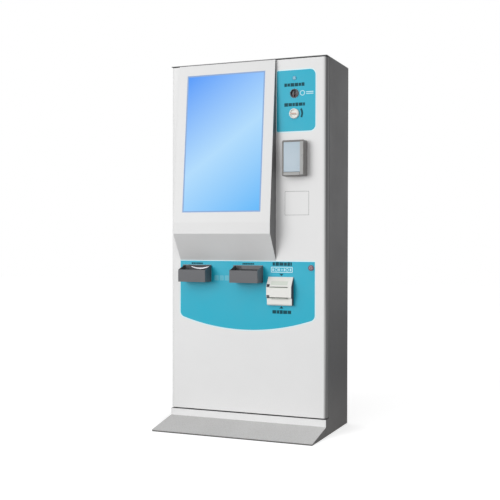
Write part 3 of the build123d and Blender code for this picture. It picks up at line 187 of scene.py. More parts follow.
def coated(name, paint, bump, cloud=0.05, dust=0.3, peel=900.0):
    """Powder coat of one colour."""
    values = {"Paint": paint, "Cloud": cloud, "Peel Scale": peel, "Dust": dust}
    return finish(name, POWDER_COAT, values, bump)


def dress(name, material, edge=0.0):
    """Gives a CAD node its finish, and a small rounded edge where edge is above nothing."""
    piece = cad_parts[name]
    piece.data.materials.clear()
    piece.data.materials.append(material)
    if edge:
        bevel = piece.modifiers.new("edge", "BEVEL")
        bevel.width = edge
        bevel.segments = 2
        bevel.limit_method = "ANGLE"
        bevel.angle_limit = math.radians(BEVEL_LIMIT)
        bevel.harden_normals = True


dark_coat = coated("dark_powder_coat", DARK_COAT, 0.25, cloud=0.08, dust=0.22)
roof_coat = coated("roof_powder_coat", ROOF_COAT, 0.25, cloud=0.08)
seam_coat = coated("frame_powder_coat", SEAM_COAT, 0.25)
for part in ("side_panel_left", "side_panel_right", "back_panel", "base_frame", "ramp_body",
             "hinge_frame_leaves", "hinge_door_leaves"):
    dress(part, dark_coat)
dress("roof_cap", roof_coat, SHEET_EDGE)
dress("front_frame", seam_coat)


# ---------------------------------------------------------------------------------------------
# Screws that hold the back panel: pan heads with a driver recess, zinc plated steel, turned down
# on the sheet in two upright rows.

ZINC = (0.4, 0.41, 0.42, 1)
SCREW_RADIUS = 0.0055
SCREW_RISE = 0.0022
BOX_FACES = (0, 1, 3, 2), (4, 6, 7, 5), (0, 4, 5, 1), (2, 3, 7, 6), (0, 2, 6, 4), (1, 5, 7, 3)
SCREW_ROWS = 7
SCREW_INSET = 0.015
SCREW_MARGIN = 0.04
SMOOTH_LIMIT = 35


def build_bare_metal():
    """Bare or plated metal: fine scratches one way, stains, uneven gloss."""
    inputs = [
        ("Paint", "Color", (0.5, 0.5, 0.5, 1)),
        ("Scratch Scale", "Float", 700.0),
        ("Gloss Low", "Float", 0.25),
        ("Gloss High", "Float", 0.45),
    ]
    group, given, result = shader_group("bare_metal", inputs, LOOK_OUTPUTS)
    place = node(group, "TexCoord").outputs["Object"]
    along = node(group, "Mapping", {"Vector": place, "Scale": (0.06, 1.0, 1.0)}).outputs[0]
    fine = {"Vector": along, "Scale": given.outputs["Scratch Scale"], "Detail": 4.0}
    scratch = node(group, "TexNoise", fine).outputs["Fac"]
    stain = node(group, "TexNoise", {"Vector": place, "Scale": 18.0, "Detail": 5.0}).outputs["Fac"]
    dull = {0: given.outputs["Paint"], "Scale": remap(group, stain, 0.35, 0.7, 1.0, 0.9)}
    colour = node(group, "VectorMath", dull, operation="SCALE").outputs[0]
    return hand_out(group, result, colour, gloss_between(group, given, stain), scratch)


BARE_METAL = build_bare_metal()


def plated(name, paint, gloss, bump=0.1, metal=1.0):
    """Bare or plated metal of one colour; gloss is its lowest and highest roughness."""
    values = {"Paint": paint, "Gloss Low": gloss[0], "Gloss High": gloss[1]}
    return finish(name, BARE_METAL, values, bump, Metallic=metal)


zinc = plated("zinc_plate", ZINC, (0.42, 0.5), 0.15)


def to_mesh(work, name):
    """Turns a bmesh into mesh data with outward faces."""
    bmesh.ops.recalc_face_normals(work, faces=work.faces)
    mesh = bpy.data.meshes.new(name)
    work.to_mesh(mesh)
    work.free()
    return mesh


def add_piece(name, work, body, material, smooth=False):
    """A new object from a bmesh, with its finish, on a body."""
    mesh = to_mesh(work, name)
    piece = bpy.data.objects.new(name, mesh)
    bpy.context.scene.collection.objects.link(piece)
    mesh.materials.append(material)
    for face in mesh.polygons:
        face.use_smooth = smooth
    if smooth:
        mesh.set_sharp_from_angle(angle=math.radians(SMOOTH_LIMIT))
    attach(piece, body)
    return piece


def lathe(work, profile, centre, out, steps=28):
    """Adds a turned shape to a bmesh: profile is (radius, rise) pairs along the direction out."""
    out = Vector(out).normalized()
    side = out.orthogonal().normalized()
    other = out.cross(side)
    rings = []
    for radius, rise in profile:
        middle = Vector(centre) + out * rise
        if radius <= 0:
            rings.append([work.verts.new(middle)])
            continue
        ring = []
        for step in range(steps):
            turn = 2 * math.pi * step / steps
            spoke = side * math.cos(turn) + other * math.sin(turn)
            ring.append(work.verts.new(middle + radius * spoke))
        rings.append(ring)
    for low, high in zip(rings[:-1], rings[1:]):
        for step in range(steps):
            following = (step + 1) % steps
            corners = [low[step % len(low)], low[following % len(low)]]
            corners += [high[following % len(high)], high[step % len(high)]]
            corners = list(dict.fromkeys(corners))
            if len(corners) > 2:
                work.faces.new(corners)


def slab(work, low, high):
    """Adds a box between two corners to a bmesh."""
    corners = []
    for x in (low[0], high[0]):
        for y in (low[1], high[1]):
            for z in (low[2], high[2]):
                corners.append(work.verts.new((x, y, z)))
    for face in BOX_FACES:
        work.faces.new([corners[index] for index in face])


def pan_head(work, centre, out):
    """One domed screw head with a hollow driver recess."""
    shares = ((1, 0), (1, 0.35), (0.86, 0.8), (0.55, 1), (0.34, 1), (0.26, 0.25), (0, 0.2))
    profile = [(SCREW_RADIUS * across, SCREW_RISE * up) for across, up in shares]
    lathe(work, profile, centre, out, 20)


back_low, back_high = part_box("back_panel")
screw_foot, screw_head = back_low[2] + SCREW_MARGIN, back_high[2] - SCREW_MARGIN
work = bmesh.new()
for side in (back_low[0] + SCREW_INSET, back_high[0] - SCREW_INSET):
    for row in range(SCREW_ROWS):
        z = screw_foot + (screw_head - screw_foot) * row / (SCREW_ROWS - 1)
        pan_head(work, (side, back_high[1], z), (0, 1, 0))
add_piece("back_panel_screws", work, "cabinet", zinc, smooth=True)


# ---------------------------------------------------------------------------------------------
# Foot ramp and kick plate: folded steel screwed to the base, in the same coat in light grey, the
# kick plate's made lighter as painted light. The tread on the ramp is a rougher anti slip coat that
# holds more dust, its grey darkened as painted shade.

LIGHT_COAT = (0.745, 0.745, 0.745, 1)
# The front coat is the light coat made lighter. This is painted light on the door, kick plate and
# cover, which sit lower and get less light than the hood.
FRONT_COAT_PAINTED_LIGHT = (0.795, 0.795, 0.795, 1)
TREAD_GREY_PAINTED_SHADE = (0.56, 0.56, 0.562, 1)
light_coat = coated("light_powder_coat", LIGHT_COAT, 0.12, cloud=0.018, dust=0.1)
front_coat_painted_light = coated("front_powder_coat_painted_light", FRONT_COAT_PAINTED_LIGHT, 0.12, cloud=0.018, dust=0.1)
# The tread grey is darker than the light coat as painted shade. The roughness, peel and dust are
# the coat's own.
tread = {"Paint": TREAD_GREY_PAINTED_SHADE, "Cloud": 0.06, "Peel Scale": 420.0, "Dust": 0.35}
tread.update({"Gloss Low": 0.6, "Gloss High": 0.78})
tread_coat_painted_shade = finish("tread_coat_painted_shade", POWDER_COAT, tread, 0.6, 0.0008)
dress("kick_plate", front_coat_painted_light, FOLD_EDGE)
dress("ramp_tread", tread_coat_painted_shade, SHEET_EDGE)


# ---------------------------------------------------------------------------------------------
# Door: one deep drawn steel pan with rounded upright edges, coated light grey in front, made a
# little lighter as painted light, and dark on its folded sides like the cabinet, with painted shade
# fading in over the right rounded edge. The hood before its window is a bent sheet in the light
# coat between two cheek plates coated dark as painted shade. A plain square cover closes a spare
# opening.

CHEEK_PAINTED_SHADE = (0.12, 0.12, 0.122, 1)
DOOR_SIDE_COAT = (0.105, 0.105, 0.107, 1)
FRONT_SHARE = 0.004
RIGHT_EDGE_SHADE = 0.009


def door_material():
    """Light coat in front, dark coat on the folded sides, and painted shade fading in over the
    right rounded edge.
    """
    made = coated("door_powder_coat_painted_light_and_shade", FRONT_COAT_PAINTED_LIGHT, 0.12, cloud=0.018, dust=0.1)
    tree = made.node_tree
    principled = tree.nodes["Principled BSDF"]
    pan_coat = principled.inputs["Base Color"].links[0].from_node
    side_coat = tree.nodes.new("ShaderNodeGroup")
    side_coat.node_tree = POWDER_COAT
    side_coat.inputs["Paint"].default_value = DOOR_SIDE_COAT
    place = node(tree, "SeparateXYZ", {"Vector": node(tree, "TexCoord").outputs["Object"]})
    away = node(tree, "Math", {0: place.outputs["X"]}, operation="ABSOLUTE").outputs[0]
    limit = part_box("door_panel")[1][0] - FRONT_SHARE
    folded = node(tree, "Math", {0: away, 1: limit}, operation="GREATER_THAN").outputs[0]
    # Painted shade: the dark coat runs in over the last few millimetres of the right rounded edge
    # only, standing in for the shade there. The mask below holds both the folded sides and this
    # painted shade.
    right_edge_shade = remap(tree, place.outputs["X"], limit - RIGHT_EDGE_SHADE, limit, 0.0, 1.0)
    turned = node(tree, "Math", {0: folded, 1: right_edge_shade}, operation="MAXIMUM").outputs[0]
    both = blend_colour(tree, turned, pan_coat.outputs["Color"], side_coat.outputs["Color"])
    tree.links.new(both, principled.inputs["Base Color"])
    return made


dress("door_panel", door_material())
dress("blanking_cover", front_coat_painted_light)
dress("hood_front", light_coat, SHEET_EDGE)
# The cheek plates are coated dark as painted shade, standing in for the shade on the hood's sides.
dress("hood_cheeks", coated("cheek_powder_coat_painted_shade", CHEEK_PAINTED_SHADE, 0.25, dust=0.0))
for part in ("latch_bar", "latch_guides", "strikers", "display_rails", "coin_shelf",
             "equipment_shelf", "printer_stand", "cash_runners", "payout_duct", "cash_box",
             "control_box", "power_supply"):
    dress(part, zinc)


# ---------------------------------------------------------------------------------------------
# Rubber and moulded parts: extruded door gasket, feed rollers, cable gland, and the coin, note and
# ticket units screwed in behind the door. Fine moulded grain; the rubber is the dullest.

RUBBER_BLACK = (0.018, 0.018, 0.019, 1)
UNIT_BLACK = (0.035, 0.035, 0.04, 1)
UNIT_GREY = (0.17, 0.17, 0.175, 1)


def build_moulded_grain():
    """Spark eroded mould grain with a little tone drift and handling shine."""
    inputs = [
        ("Paint", "Color", (0.5, 0.5, 0.5, 1)),
        ("Drift", "Float", 0.04),
        ("Grain Scale", "Float", 1400.0),
        ("Gloss Low", "Float", 0.4),
        ("Gloss High", "Float", 0.55),
    ]
    group, given, result = shader_group("moulded_grain", inputs, LOOK_OUTPUTS)
    place = node(group, "TexCoord").outputs["Object"]
    cells = {"Vector": place, "Scale": given.outputs["Grain Scale"]}
    grain = node(group, "TexVoronoi", cells, feature="F1").outputs["Distance"]
    drift = node(group, "TexNoise", {"Vector": place, "Scale": 14.0, "Detail": 5.0}).outputs["Fac"]
    colour = toned(group, given, drift, "Drift")
    return hand_out(group, result, colour, gloss_between(group, given, drift), grain)


MOULDED_GRAIN = build_moulded_grain()


def moulded(name, paint, bump, gloss=(0.4, 0.55), drift=0.04, grain=1400.0, **shader):
    """Moulded or printed finish of one colour; gloss is its lowest and highest roughness."""
    values = {"Paint": paint, "Drift": drift, "Grain Scale": grain}
    values.update({"Gloss Low": gloss[0], "Gloss High": gloss[1]})
    return finish(name, MOULDED_GRAIN, values, bump, **shader)


rubber = moulded("rubber", RUBBER_BLACK, 0.3, (0.65, 0.85))
unit_black = moulded("unit_black", UNIT_BLACK, 0.2)
unit_grey = moulded("unit_grey", UNIT_GREY, 0.2)
for part in ("door_seal", "cable_gland", "note_roller_upper", "note_roller_lower", "platen_roller"):
    dress(part, rubber)
for part in ("coin_selector", "note_unit", "note_cassette", "coin_hopper", "fan_housing",
             "fan_rotor"):
    dress(part, unit_black)
for part in ("coin_chute", "printer_body", "display_module", "hopper_disc"):
    dress(part, unit_grey)


# ---------------------------------------------------------------------------------------------
# Ticket stock: a wound roll of white paper that turns on the printer stand's spindle. Its end
# faces show the turns.

PAPER_TURNS = 6000.0


def build_wound_paper():
    """White paper with fine rings for the turns of the roll about the X axis."""
    inputs = [("Paint", "Color", (0.8, 0.8, 0.78, 1)), ("Axis", "Vector", (0, 0, 0))]
    group, given, result = shader_group("wound_paper", inputs, LOOK_OUTPUTS)
    place = node(group, "TexCoord").outputs["Object"]
    offset = node(group, "VectorMath", {0: place, 1: given.outputs["Axis"]}, operation="SUBTRACT")
    flat = node(group, "VectorMath", {0: offset.outputs[0], 1: (0, 1, 1)}, operation="MULTIPLY")
    reach = node(group, "VectorMath", {0: flat.outputs[0]}, operation="LENGTH").outputs["Value"]
    turns = node(group, "Math", {0: reach, 1: PAPER_TURNS}, operation="MULTIPLY").outputs[0]
    ring = node(group, "Math", {0: turns}, operation="SINE").outputs[0]
    tint = remap(group, ring, -1.0, 1.0, 0.9, 1.0)
    paint = {0: given.outputs["Paint"], "Scale": tint}
    colour = node(group, "VectorMath", paint, operation="SCALE").outputs[0]
    return hand_out(group, result, colour, remap(group, ring, -1.0, 1.0, 0.85, 0.7), ring)


def middle_of(name):
    """Centre of a CAD node's box."""
    low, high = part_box(name)
    return Vector([(a + b) / 2 for a, b in zip(low, high)])


WOUND_PAPER = build_wound_paper()
ticket_stock = finish("ticket_stock", WOUND_PAPER, {"Axis": middle_of("paper_roll")}, 0.1, 0.0002)
dress("paper_roll", ticket_stock)


# ---------------------------------------------------------------------------------------------
# Touch display: a glass bonded into the hood with a thin blue grey printed border, and behind it
# the lit panel with its idle picture, a soft blue gradient with one broad pale band across it.

SKY_DEEP = (0.045, 0.275, 0.9, 1)
SKY_PALE = (0.4, 0.67, 0.93, 1)
SKY_SOFT = (0.085, 0.44, 0.9, 1)
BORDER = (0.23, 0.38, 0.66, 1)
BORDER_WIDTH = 0.006
SCREEN_LIGHT = 1.0
SCREEN_BLACK = (0.02, 0.02, 0.025, 1)
SCREEN_SHEEN = 0.1
BAND_SLANT, BAND_REACH, BAND_MIDDLE = 0.45, 1.45, 0.52


def build_idle_picture(low, high):
    """Screen colour from the place on the glass: diagonal gradient, band and border."""
    outputs = [("Color", "Color", None), ("Roughness", "Float", None)]
    group, _, result = shader_group("idle_picture", [], outputs)
    place = node(group, "TexCoord").outputs["Object"]
    parts = node(group, "SeparateXYZ", {"Vector": place})
    across = remap(group, parts.outputs["X"], low[0], high[0], 0.0, 1.0)
    up = remap(group, parts.outputs["Z"], low[2], high[2], 0.0, 1.0)
    down = node(group, "Math", {0: 1.0, 1: up}, operation="SUBTRACT").outputs[0]
    slant = node(group, "Math", {0: across, 1: BAND_SLANT}, operation="MULTIPLY").outputs[0]
    along = node(group, "Math", {0: slant, 1: down}, operation="ADD").outputs[0]
    ramp = node(group, "ValToRGB", {"Fac": remap(group, along, 0.0, BAND_REACH, 0.0, 1.0)})
    stops = ramp.color_ramp.elements
    stops[0].position, stops[0].color = 0.0, SKY_DEEP
    stops[1].position, stops[1].color = 1.0, SKY_SOFT
    middle = stops.new(BAND_MIDDLE)
    middle.color = SKY_PALE
    edges = []
    for axis, letter in ((0, "X"), (2, "Z")):
        centre = (low[axis] + high[axis]) / 2
        offset = {0: parts.outputs[letter], 1: centre}
        away = node(group, "Math", offset, operation="SUBTRACT").outputs[0]
        away = node(group, "Math", {0: away}, operation="ABSOLUTE").outputs[0]
        limit = (high[axis] - low[axis]) / 2 - BORDER_WIDTH
        edges.append(node(group, "Math", {0: away, 1: limit}, operation="GREATER_THAN").outputs[0])
    rim = node(group, "Math", {0: edges[0], 1: edges[1]}, operation="MAXIMUM").outputs[0]
    hand = {"Vector": place, "Scale": 22.0, "Detail": 6.0, "Roughness": 0.7}
    smear = node(group, "TexNoise", hand).outputs["Fac"]
    group.links.new(blend_colour(group, rim, ramp.outputs["Color"], BORDER), result.inputs["Color"])
    group.links.new(remap(group, smear, 0.4, 0.7, 0.06, 0.2), result.inputs["Roughness"])
    return group


def screen_material():
    """Lit picture under a glossy front."""
    made = bpy.data.materials.new("display_glass_lit")
    made.use_nodes = True
    tree = made.node_tree
    principled = tree.nodes["Principled BSDF"]
    effect = tree.nodes.new("ShaderNodeGroup")
    effect.node_tree = build_idle_picture(*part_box("display_glass"))
    principled.inputs["Base Color"].default_value = SCREEN_BLACK
    principled.inputs["Emission Strength"].default_value = SCREEN_LIGHT
    principled.inputs["Specular IOR Level"].default_value = SCREEN_SHEEN
    tree.links.new(effect.outputs["Color"], principled.inputs["Emission Color"])
    tree.links.new(effect.outputs["Roughness"], principled.inputs["Roughness"])
    return made


dress("display_glass", screen_material())


# ---------------------------------------------------------------------------------------------
# Graphic overlays: back printed polycarbonate sheets in teal, stuck flat on the door inside a thin
# pale painted line. The ink is even; the sheet's front is lightly textured against glare.

TEAL = (0.006, 0.43, 0.6, 1)
PALE_LINE = (0.7, 0.92, 0.96, 1)
PRINT_RISE = 0.0002
OUTLINE_WIDTH = 0.0045
OVERLAY_CORNER = 0.026
SMALL_CORNER = 0.006
SHOULDER_RISE = 0.057

overlay_teal = moulded("overlay_teal", TEAL, 0.08, (0.32, 0.42), 0.012, Specular_IOR_Level=0.3)
overlay_line = moulded("overlay_outline", PALE_LINE, 0.08, drift=0.01)
dress("upper_overlay", overlay_teal)
dress("lower_overlay", overlay_teal)


def arc_points(centre, radius, start, end, steps=10):
    """Points (x, z) on an arc, angles in degrees."""
    points = []
    for step in range(steps + 1):
        turn = math.radians(start + (end - start) * step / steps)
        points.append((centre[0] + radius * math.cos(turn), centre[1] + radius * math.sin(turn)))
    return points


def rounded_outline(low, high, radii):
    """Rectangle with a radius at each corner, from the bottom left one and anticlockwise."""
    corners = [
        ((low[0] + radii[0], low[1] + radii[0]), radii[0], 180),
        ((high[0] - radii[1], low[1] + radii[1]), radii[1], 270),
        ((high[0] - radii[2], high[1] - radii[2]), radii[2], 0),
        ((low[0] + radii[3], high[1] - radii[3]), radii[3], 90),
    ]
    points = []
    for centre, radius, start in corners:
        points += arc_points(centre, radius, start, start + 90, 8)
    return points


def even_outline(low, high, radius):
    """Rectangle with the same radius at all four corners."""
    return rounded_outline(low, high, (radius,) * 4)


def band(work, points, inner, y, thick):
    """Flat closed band on the door between an outline and the same outline drawn in."""
    rings = []
    for line in (points, inner):
        for depth in (y, y - thick):
            rings.append([work.verts.new((x, depth, z)) for x, z in line])
    back_out, front_out, back_in, front_in = rings
    walls = (front_out, front_in), (back_out, front_out), (front_in, back_in), (back_in, back_out)
    count = len(points)
    for step in range(count):
        after = (step + 1) % count
        for low, high in walls:
            work.faces.new([low[step], low[after], high[after], high[step]])


def drawn_in(points, width):
    """The outline moved inwards by a width, along the bisector at each point."""
    moved = []
    count = len(points)
    for step, (x, z) in enumerate(points):
        before, after = points[step - 1], points[(step + 1) % count]
        along = Vector((after[0] - before[0], after[1] - before[1]))
        along.normalize()
        moved.append((x - along.y * width, z + along.x * width))
    return moved


def face_plate(work, points, y, thick):
    """Flat filled shape on the door."""
    front = [work.verts.new((x, y - thick, z)) for x, z in points]
    back = [work.verts.new((x, y, z)) for x, z in points]
    work.faces.new(front)
    work.faces.new(list(reversed(back)))
    for step in range(len(points)):
        after = (step + 1) % len(points)
        work.faces.new([back[step], back[after], front[after], front[step]])


upper_low, upper_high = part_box("upper_overlay")
overlay_front = upper_low[1]
door_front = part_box("door_panel")[0][1]
upper_line = rounded_outline(
    (upper_low[0], upper_low[2]), (upper_high[0], upper_high[2]),
    (SMALL_CORNER, OVERLAY_CORNER, OVERLAY_CORNER, SMALL_CORNER),
)
lower_low, lower_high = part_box("lower_overlay")
arc_half = (lower_high[0] - lower_low[0]) / 2
arc_radius = (arc_half ** 2 + SHOULDER_RISE ** 2) / (2 * SHOULDER_RISE)
arc_middle = ((lower_low[0] + lower_high[0]) / 2, lower_low[2] + arc_radius)
corner_reach = arc_radius - OVERLAY_CORNER
corner_turn = math.degrees(math.asin((arc_half - OVERLAY_CORNER) / corner_reach))
corner_z = arc_middle[1] - corner_reach * math.cos(math.radians(corner_turn))
left_corner = (lower_low[0] + OVERLAY_CORNER, corner_z)
right_corner = (lower_high[0] - OVERLAY_CORNER, corner_z)
lower_line = [(lower_high[0], lower_high[2]), (lower_low[0], lower_high[2])]
lower_line += arc_points(left_corner, OVERLAY_CORNER, 180, 270 - corner_turn, 8)
lower_line += arc_points(arc_middle, arc_radius, 270 - corner_turn, 270 + corner_turn, 40)
lower_line += arc_points(right_corner, OVERLAY_CORNER, 270 + corner_turn, 360, 8)

work = bmesh.new()
for outline in (upper_line, lower_line):
    band(work, drawn_in(outline, -OUTLINE_WIDTH), outline, door_front, PRINT_RISE)
add_piece("overlay_outlines", work, "door", overlay_line)


# ---------------------------------------------------------------------------------------------
# Printed guides on the overlays: plain bars where a label line runs, arrows at the slots, a coin
# and a note drawn as simple shapes. They are ink on the sheet, a hair proud of it.

INK_DARK = (0.002, 0.07, 0.095, 1)
INK_PALE = (0.48, 0.77, 0.85, 1)
INK_FAINT = (0.09, 0.5, 0.64, 1)
INLET_LABEL = {"left": 0.048, "right": 0.05, "height": 0.016}
NOTE_LABEL = {"left": 0.041, "right": 0.052, "height": 0.017}
TRAY_LABEL = {"left": 0.028, "right": 0.034, "height": 0.008}
INLET_LABEL_UP, KNOB_LABEL_UP, TRAY_LABEL_UP = 0.039, 0.041, 0.007
NOTE_LABEL_UP, NOTE_LABEL_DOWN = 0.059, 0.031
ARROW_SIZE, ARROW_GAP, ARROW_ASIDE = 0.014, 0.004, 0.002
CURVE_OUTER, CURVE_INNER, CURVE_LOW, CURVE_HIGH = 0.0415, 0.0325, -28, 34
COIN_ASIDE, COIN_RADIUS, COIN_LINE = 0.038, 0.012, 0.0035
BAR_START, BAR_STOP, BAR_STEP, BAR_HALF = 0.018, 0.052, 0.004, 0.0022
NOTE_LEFT, NOTE_RIGHT, NOTE_FOOT, NOTE_HEAD = 0.049, 0.056, 0.02, 0.046
NOTE_LINE, NOTE_RING_LINE, NOTE_BAR, NOTE_BAR_HALF = 0.0035, 0.0025, 0.0035, 0.006
BAR_CORNER, FRAME_CORNER = 0.001, 0.003
PATCH_FOOT, PATCH_HEAD, PATCH_ASIDE, PATCH_STEP, PATCH_WIDTH = 0.006, 0.03, 0.017, 0.026, 0.021
ink_dark = moulded("ink_dark", INK_DARK, 0.08, drift=0.02, Specular_IOR_Level=0.15)
ink_pale = moulded("ink_pale", INK_PALE, 0.08, drift=0.02)
ink_faint = moulded("ink_faint", INK_FAINT, 0.08, drift=0.02)


def ink(work, points):
    """One filled printed shape on an overlay."""
    face_plate(work, points, overlay_front, PRINT_RISE)


def ink_line(work, points, width):
    """A printed line of one width, just inside an outline."""
    band(work, points, drawn_in(points, width), overlay_front, PRINT_RISE)


def label_line(work, middle, z, size, seed):
    """A row of short plain bars of uneven length, the stand in for one line of label."""
    place, right, height = middle - size["left"], middle + size["right"], size["height"]
    step = 0
    while place < right - 0.004:
        length = height * (0.7 + 0.45 * math.sin(seed + 2.3 * step) ** 2)
        stop = min(place + length, right)
        half = height * (0.86 + 0.14 * math.cos(seed * 1.7 + step) ** 2) / 2
        ink(work, [(place, z - half), (stop, z - half), (stop, z + half), (place, z + half)])
        place = stop + height * 0.14
        step += 1


def arrow(work, tip, size, down=True):
    """Solid triangle that points down or up at a slot."""
    way = 1 if down else -1
    base = tip[1] + way * size * 0.8
    ink(work, [tip, (tip[0] + size * 0.75 * way, base), (tip[0] - size * 0.75 * way, base)])


inlet = middle_of("coin_inlet")
knob = middle_of("coin_return_knob")
knob_low, knob_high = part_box("coin_return_knob")
knob_z = knob_low[2] + (knob_high[0] - knob_low[0]) / 2
bezel_low, bezel_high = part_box("note_bezel")
slot_x = (bezel_low[0] + bezel_high[0]) / 2

dark = bmesh.new()
label_line(dark, inlet.x, inlet.z + INLET_LABEL_UP, INLET_LABEL, 0.4)
label_line(dark, inlet.x, knob_z + KNOB_LABEL_UP, INLET_LABEL, 1.9)
label_line(dark, slot_x, bezel_high[2] + NOTE_LABEL_UP, NOTE_LABEL, 3.1)
label_line(dark, slot_x, bezel_low[2] - NOTE_LABEL_DOWN, NOTE_LABEL, 4.3)
for name, seed in (("coin_tray", 5.2), ("ticket_tray", 6.6)):
    low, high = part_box(name)
    label_line(dark, (low[0] + high[0]) / 2, high[2] + TRAY_LABEL_UP, TRAY_LABEL, seed)
arrow(dark, (slot_x + ARROW_ASIDE, bezel_high[2] + ARROW_GAP), ARROW_SIZE)
arrow(dark, (slot_x + ARROW_ASIDE, bezel_low[2] - ARROW_GAP), ARROW_SIZE, down=False)
knob_centre = (knob.x, knob_z)
curve = arc_points(knob_centre, CURVE_OUTER, CURVE_LOW, CURVE_HIGH, 14)
curve += arc_points(knob_centre, CURVE_INNER, CURVE_HIGH, CURVE_LOW, 14)
ink(dark, curve)
add_piece("printed_dark_guides", dark, "door", ink_dark)

pale = bmesh.new()
coin_x = inlet.x + COIN_ASIDE
ink_line(pale, arc_points((coin_x, inlet.z), COIN_RADIUS, 0, 350, 24), COIN_LINE)
for row in (-BAR_STEP, BAR_STEP):
    low = (coin_x + BAR_START, inlet.z + row - BAR_HALF)
    high = (coin_x + BAR_STOP, inlet.z + row + BAR_HALF)
    ink(pale, even_outline(low, high, BAR_CORNER))
note_low = (slot_x - NOTE_LEFT, bezel_high[2] + NOTE_FOOT)
note_high = (slot_x + NOTE_RIGHT, bezel_high[2] + NOTE_HEAD)
note_wide = note_high[0] - note_low[0]
note_middle = (note_low[1] + note_high[1]) / 2
ink_line(pale, even_outline(note_low, note_high, FRAME_CORNER), NOTE_LINE)
for share, radius in ((0.25, 0.0075), (0.5, 0.0045), (0.75, 0.0075)):
    centre = (note_low[0] + note_wide * share, note_middle)
    ink_line(pale, arc_points(centre, radius, 0, 345, 20), NOTE_RING_LINE)
for share in (0.1, 0.375, 0.625, 0.9):
    x = note_low[0] + note_wide * share
    low = (x - NOTE_BAR, note_middle - NOTE_BAR_HALF)
    ink(pale, even_outline(low, (x + NOTE_BAR, note_middle + NOTE_BAR_HALF), BAR_CORNER))
add_piece("printed_pale_guides", pale, "door", ink_pale)

faint = bmesh.new()
low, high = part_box("coin_tray")
for step in range(3):
    left = high[0] + PATCH_ASIDE + step * PATCH_STEP
    foot, head = (left, low[2] + PATCH_FOOT), (left + PATCH_WIDTH, low[2] + PATCH_HEAD)
    ink(faint, even_outline(foot, head, FRAME_CORNER))
add_piece("printed_faint_guides", faint, "door", ink_faint)


# ---------------------------------------------------------------------------------------------
# Lamp, coin inlet and return knob: a blue lamp lens in a teal ring, a black dished inlet with two
# dark red wear plates in its throat, and a cream moulded knob with a tan insert in its finger bar.

LENS_TINT = (0.15, 0.4, 0.55, 1)
INLET_BLACK = (0.018, 0.02, 0.026, 1)
KNOB_CREAM = (0.76, 0.76, 0.72, 1)
INSERT_TAN = (0.52, 0.34, 0.28, 1)
THROAT_RED = (0.1, 0.025, 0.03, 1)
RING_GAP, RING_WIDTH = 0.0002, 0.0012
INSERT_LEFT, INSERT_RIGHT, INSERT_HALF = 0.015, 0.013, 0.0024
INSERT_CORNER, INSERT_THICK = 0.0015, 0.0006
WEAR_ASIDE, WEAR_HALF = 0.0062, 0.003
WEAR_DEPTH, WEAR_DROP = (0.004, 0.0059), (0.013, 0.004)
tan = moulded("knob_tan", INSERT_TAN, 0.1, drift=0.1)
throat_red = moulded("throat_red", THROAT_RED, 0.1, drift=0.2)
dress("status_lamp", moulded("lamp_lens", LENS_TINT, 0.1, (0.08, 0.16), grain=500.0))
dress("coin_inlet", moulded("inlet_black", INLET_BLACK, 0.15, (0.25, 0.4)))
dress("coin_return_knob", moulded("knob_cream", KNOB_CREAM, 0.06, (0.28, 0.4), 0.03))

work = bmesh.new()
lamp_low, lamp_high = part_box("status_lamp")
ring_in = (lamp_high[0] - lamp_low[0]) / 2 + RING_GAP
ring_out = ring_in + RING_WIDTH
ring_profile = [(ring_in, 0.0006), (ring_out, 0.0006), (ring_out, 0.0012), (ring_in, 0.0022)]
lamp_centre = (inlet.x, door_front, (lamp_low[2] + lamp_high[2]) / 2)
lathe(work, ring_profile, lamp_centre, (0, -1, 0), 32)
add_piece("lamp_ring", work, "door", overlay_teal, smooth=True)

work = bmesh.new()
insert_low = (knob.x - INSERT_LEFT, knob_z - INSERT_HALF)
insert_high = (knob.x + INSERT_RIGHT, knob_z + INSERT_HALF)
insert = even_outline(insert_low, insert_high, INSERT_CORNER)
face_plate(work, insert, knob_low[1] + 0.0002, INSERT_THICK)
add_piece("knob_insert", work, "return_knob", tan)

work = bmesh.new()
for side in (-1, 1):
    x = inlet.x + side * WEAR_ASIDE
    low = (x - WEAR_HALF, door_front + WEAR_DEPTH[0], inlet.z - WEAR_DROP[0])
    slab(work, low, (x + WEAR_HALF, door_front + WEAR_DEPTH[1], inlet.z - WEAR_DROP[1]))
add_piece("inlet_wear_plates", work, "door", throat_red)


# ---------------------------------------------------------------------------------------------
# Blanking cover: a spare opening's cover, sprung into the door from behind; a thin grey foam strip
# fills the gap round it.

FOAM_GREY = (0.25, 0.25, 0.25, 1)
COVER_LIP = 0.008
HOLE_CORNER = 0.0005
FOAM_WIDTH, FOAM_DEPTH, FOAM_THICK = 0.0014, 0.001, 0.0008
foam = moulded("foam_strip", FOAM_GREY, 0.3, (0.8, 0.9))
blank_low, blank_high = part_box("blanking_cover")
hole_low = (blank_low[0] + COVER_LIP, blank_low[2] + COVER_LIP)
hole_high = (blank_high[0] - COVER_LIP, blank_high[2] - COVER_LIP)
hole_line = even_outline(hole_low, hole_high, HOLE_CORNER)
work = bmesh.new()
band(work, drawn_in(hole_line, -FOAM_WIDTH), hole_line, door_front + FOAM_DEPTH, FOAM_THICK)
add_piece("blanking_foam", work, "door", foam)


# ---------------------------------------------------------------------------------------------
# Card reader: grey moulded case on the door, a pale pad let into its face over the aerial, a
# lighter chin strip clipped in below the pad and a lighter strip along the case's right side.

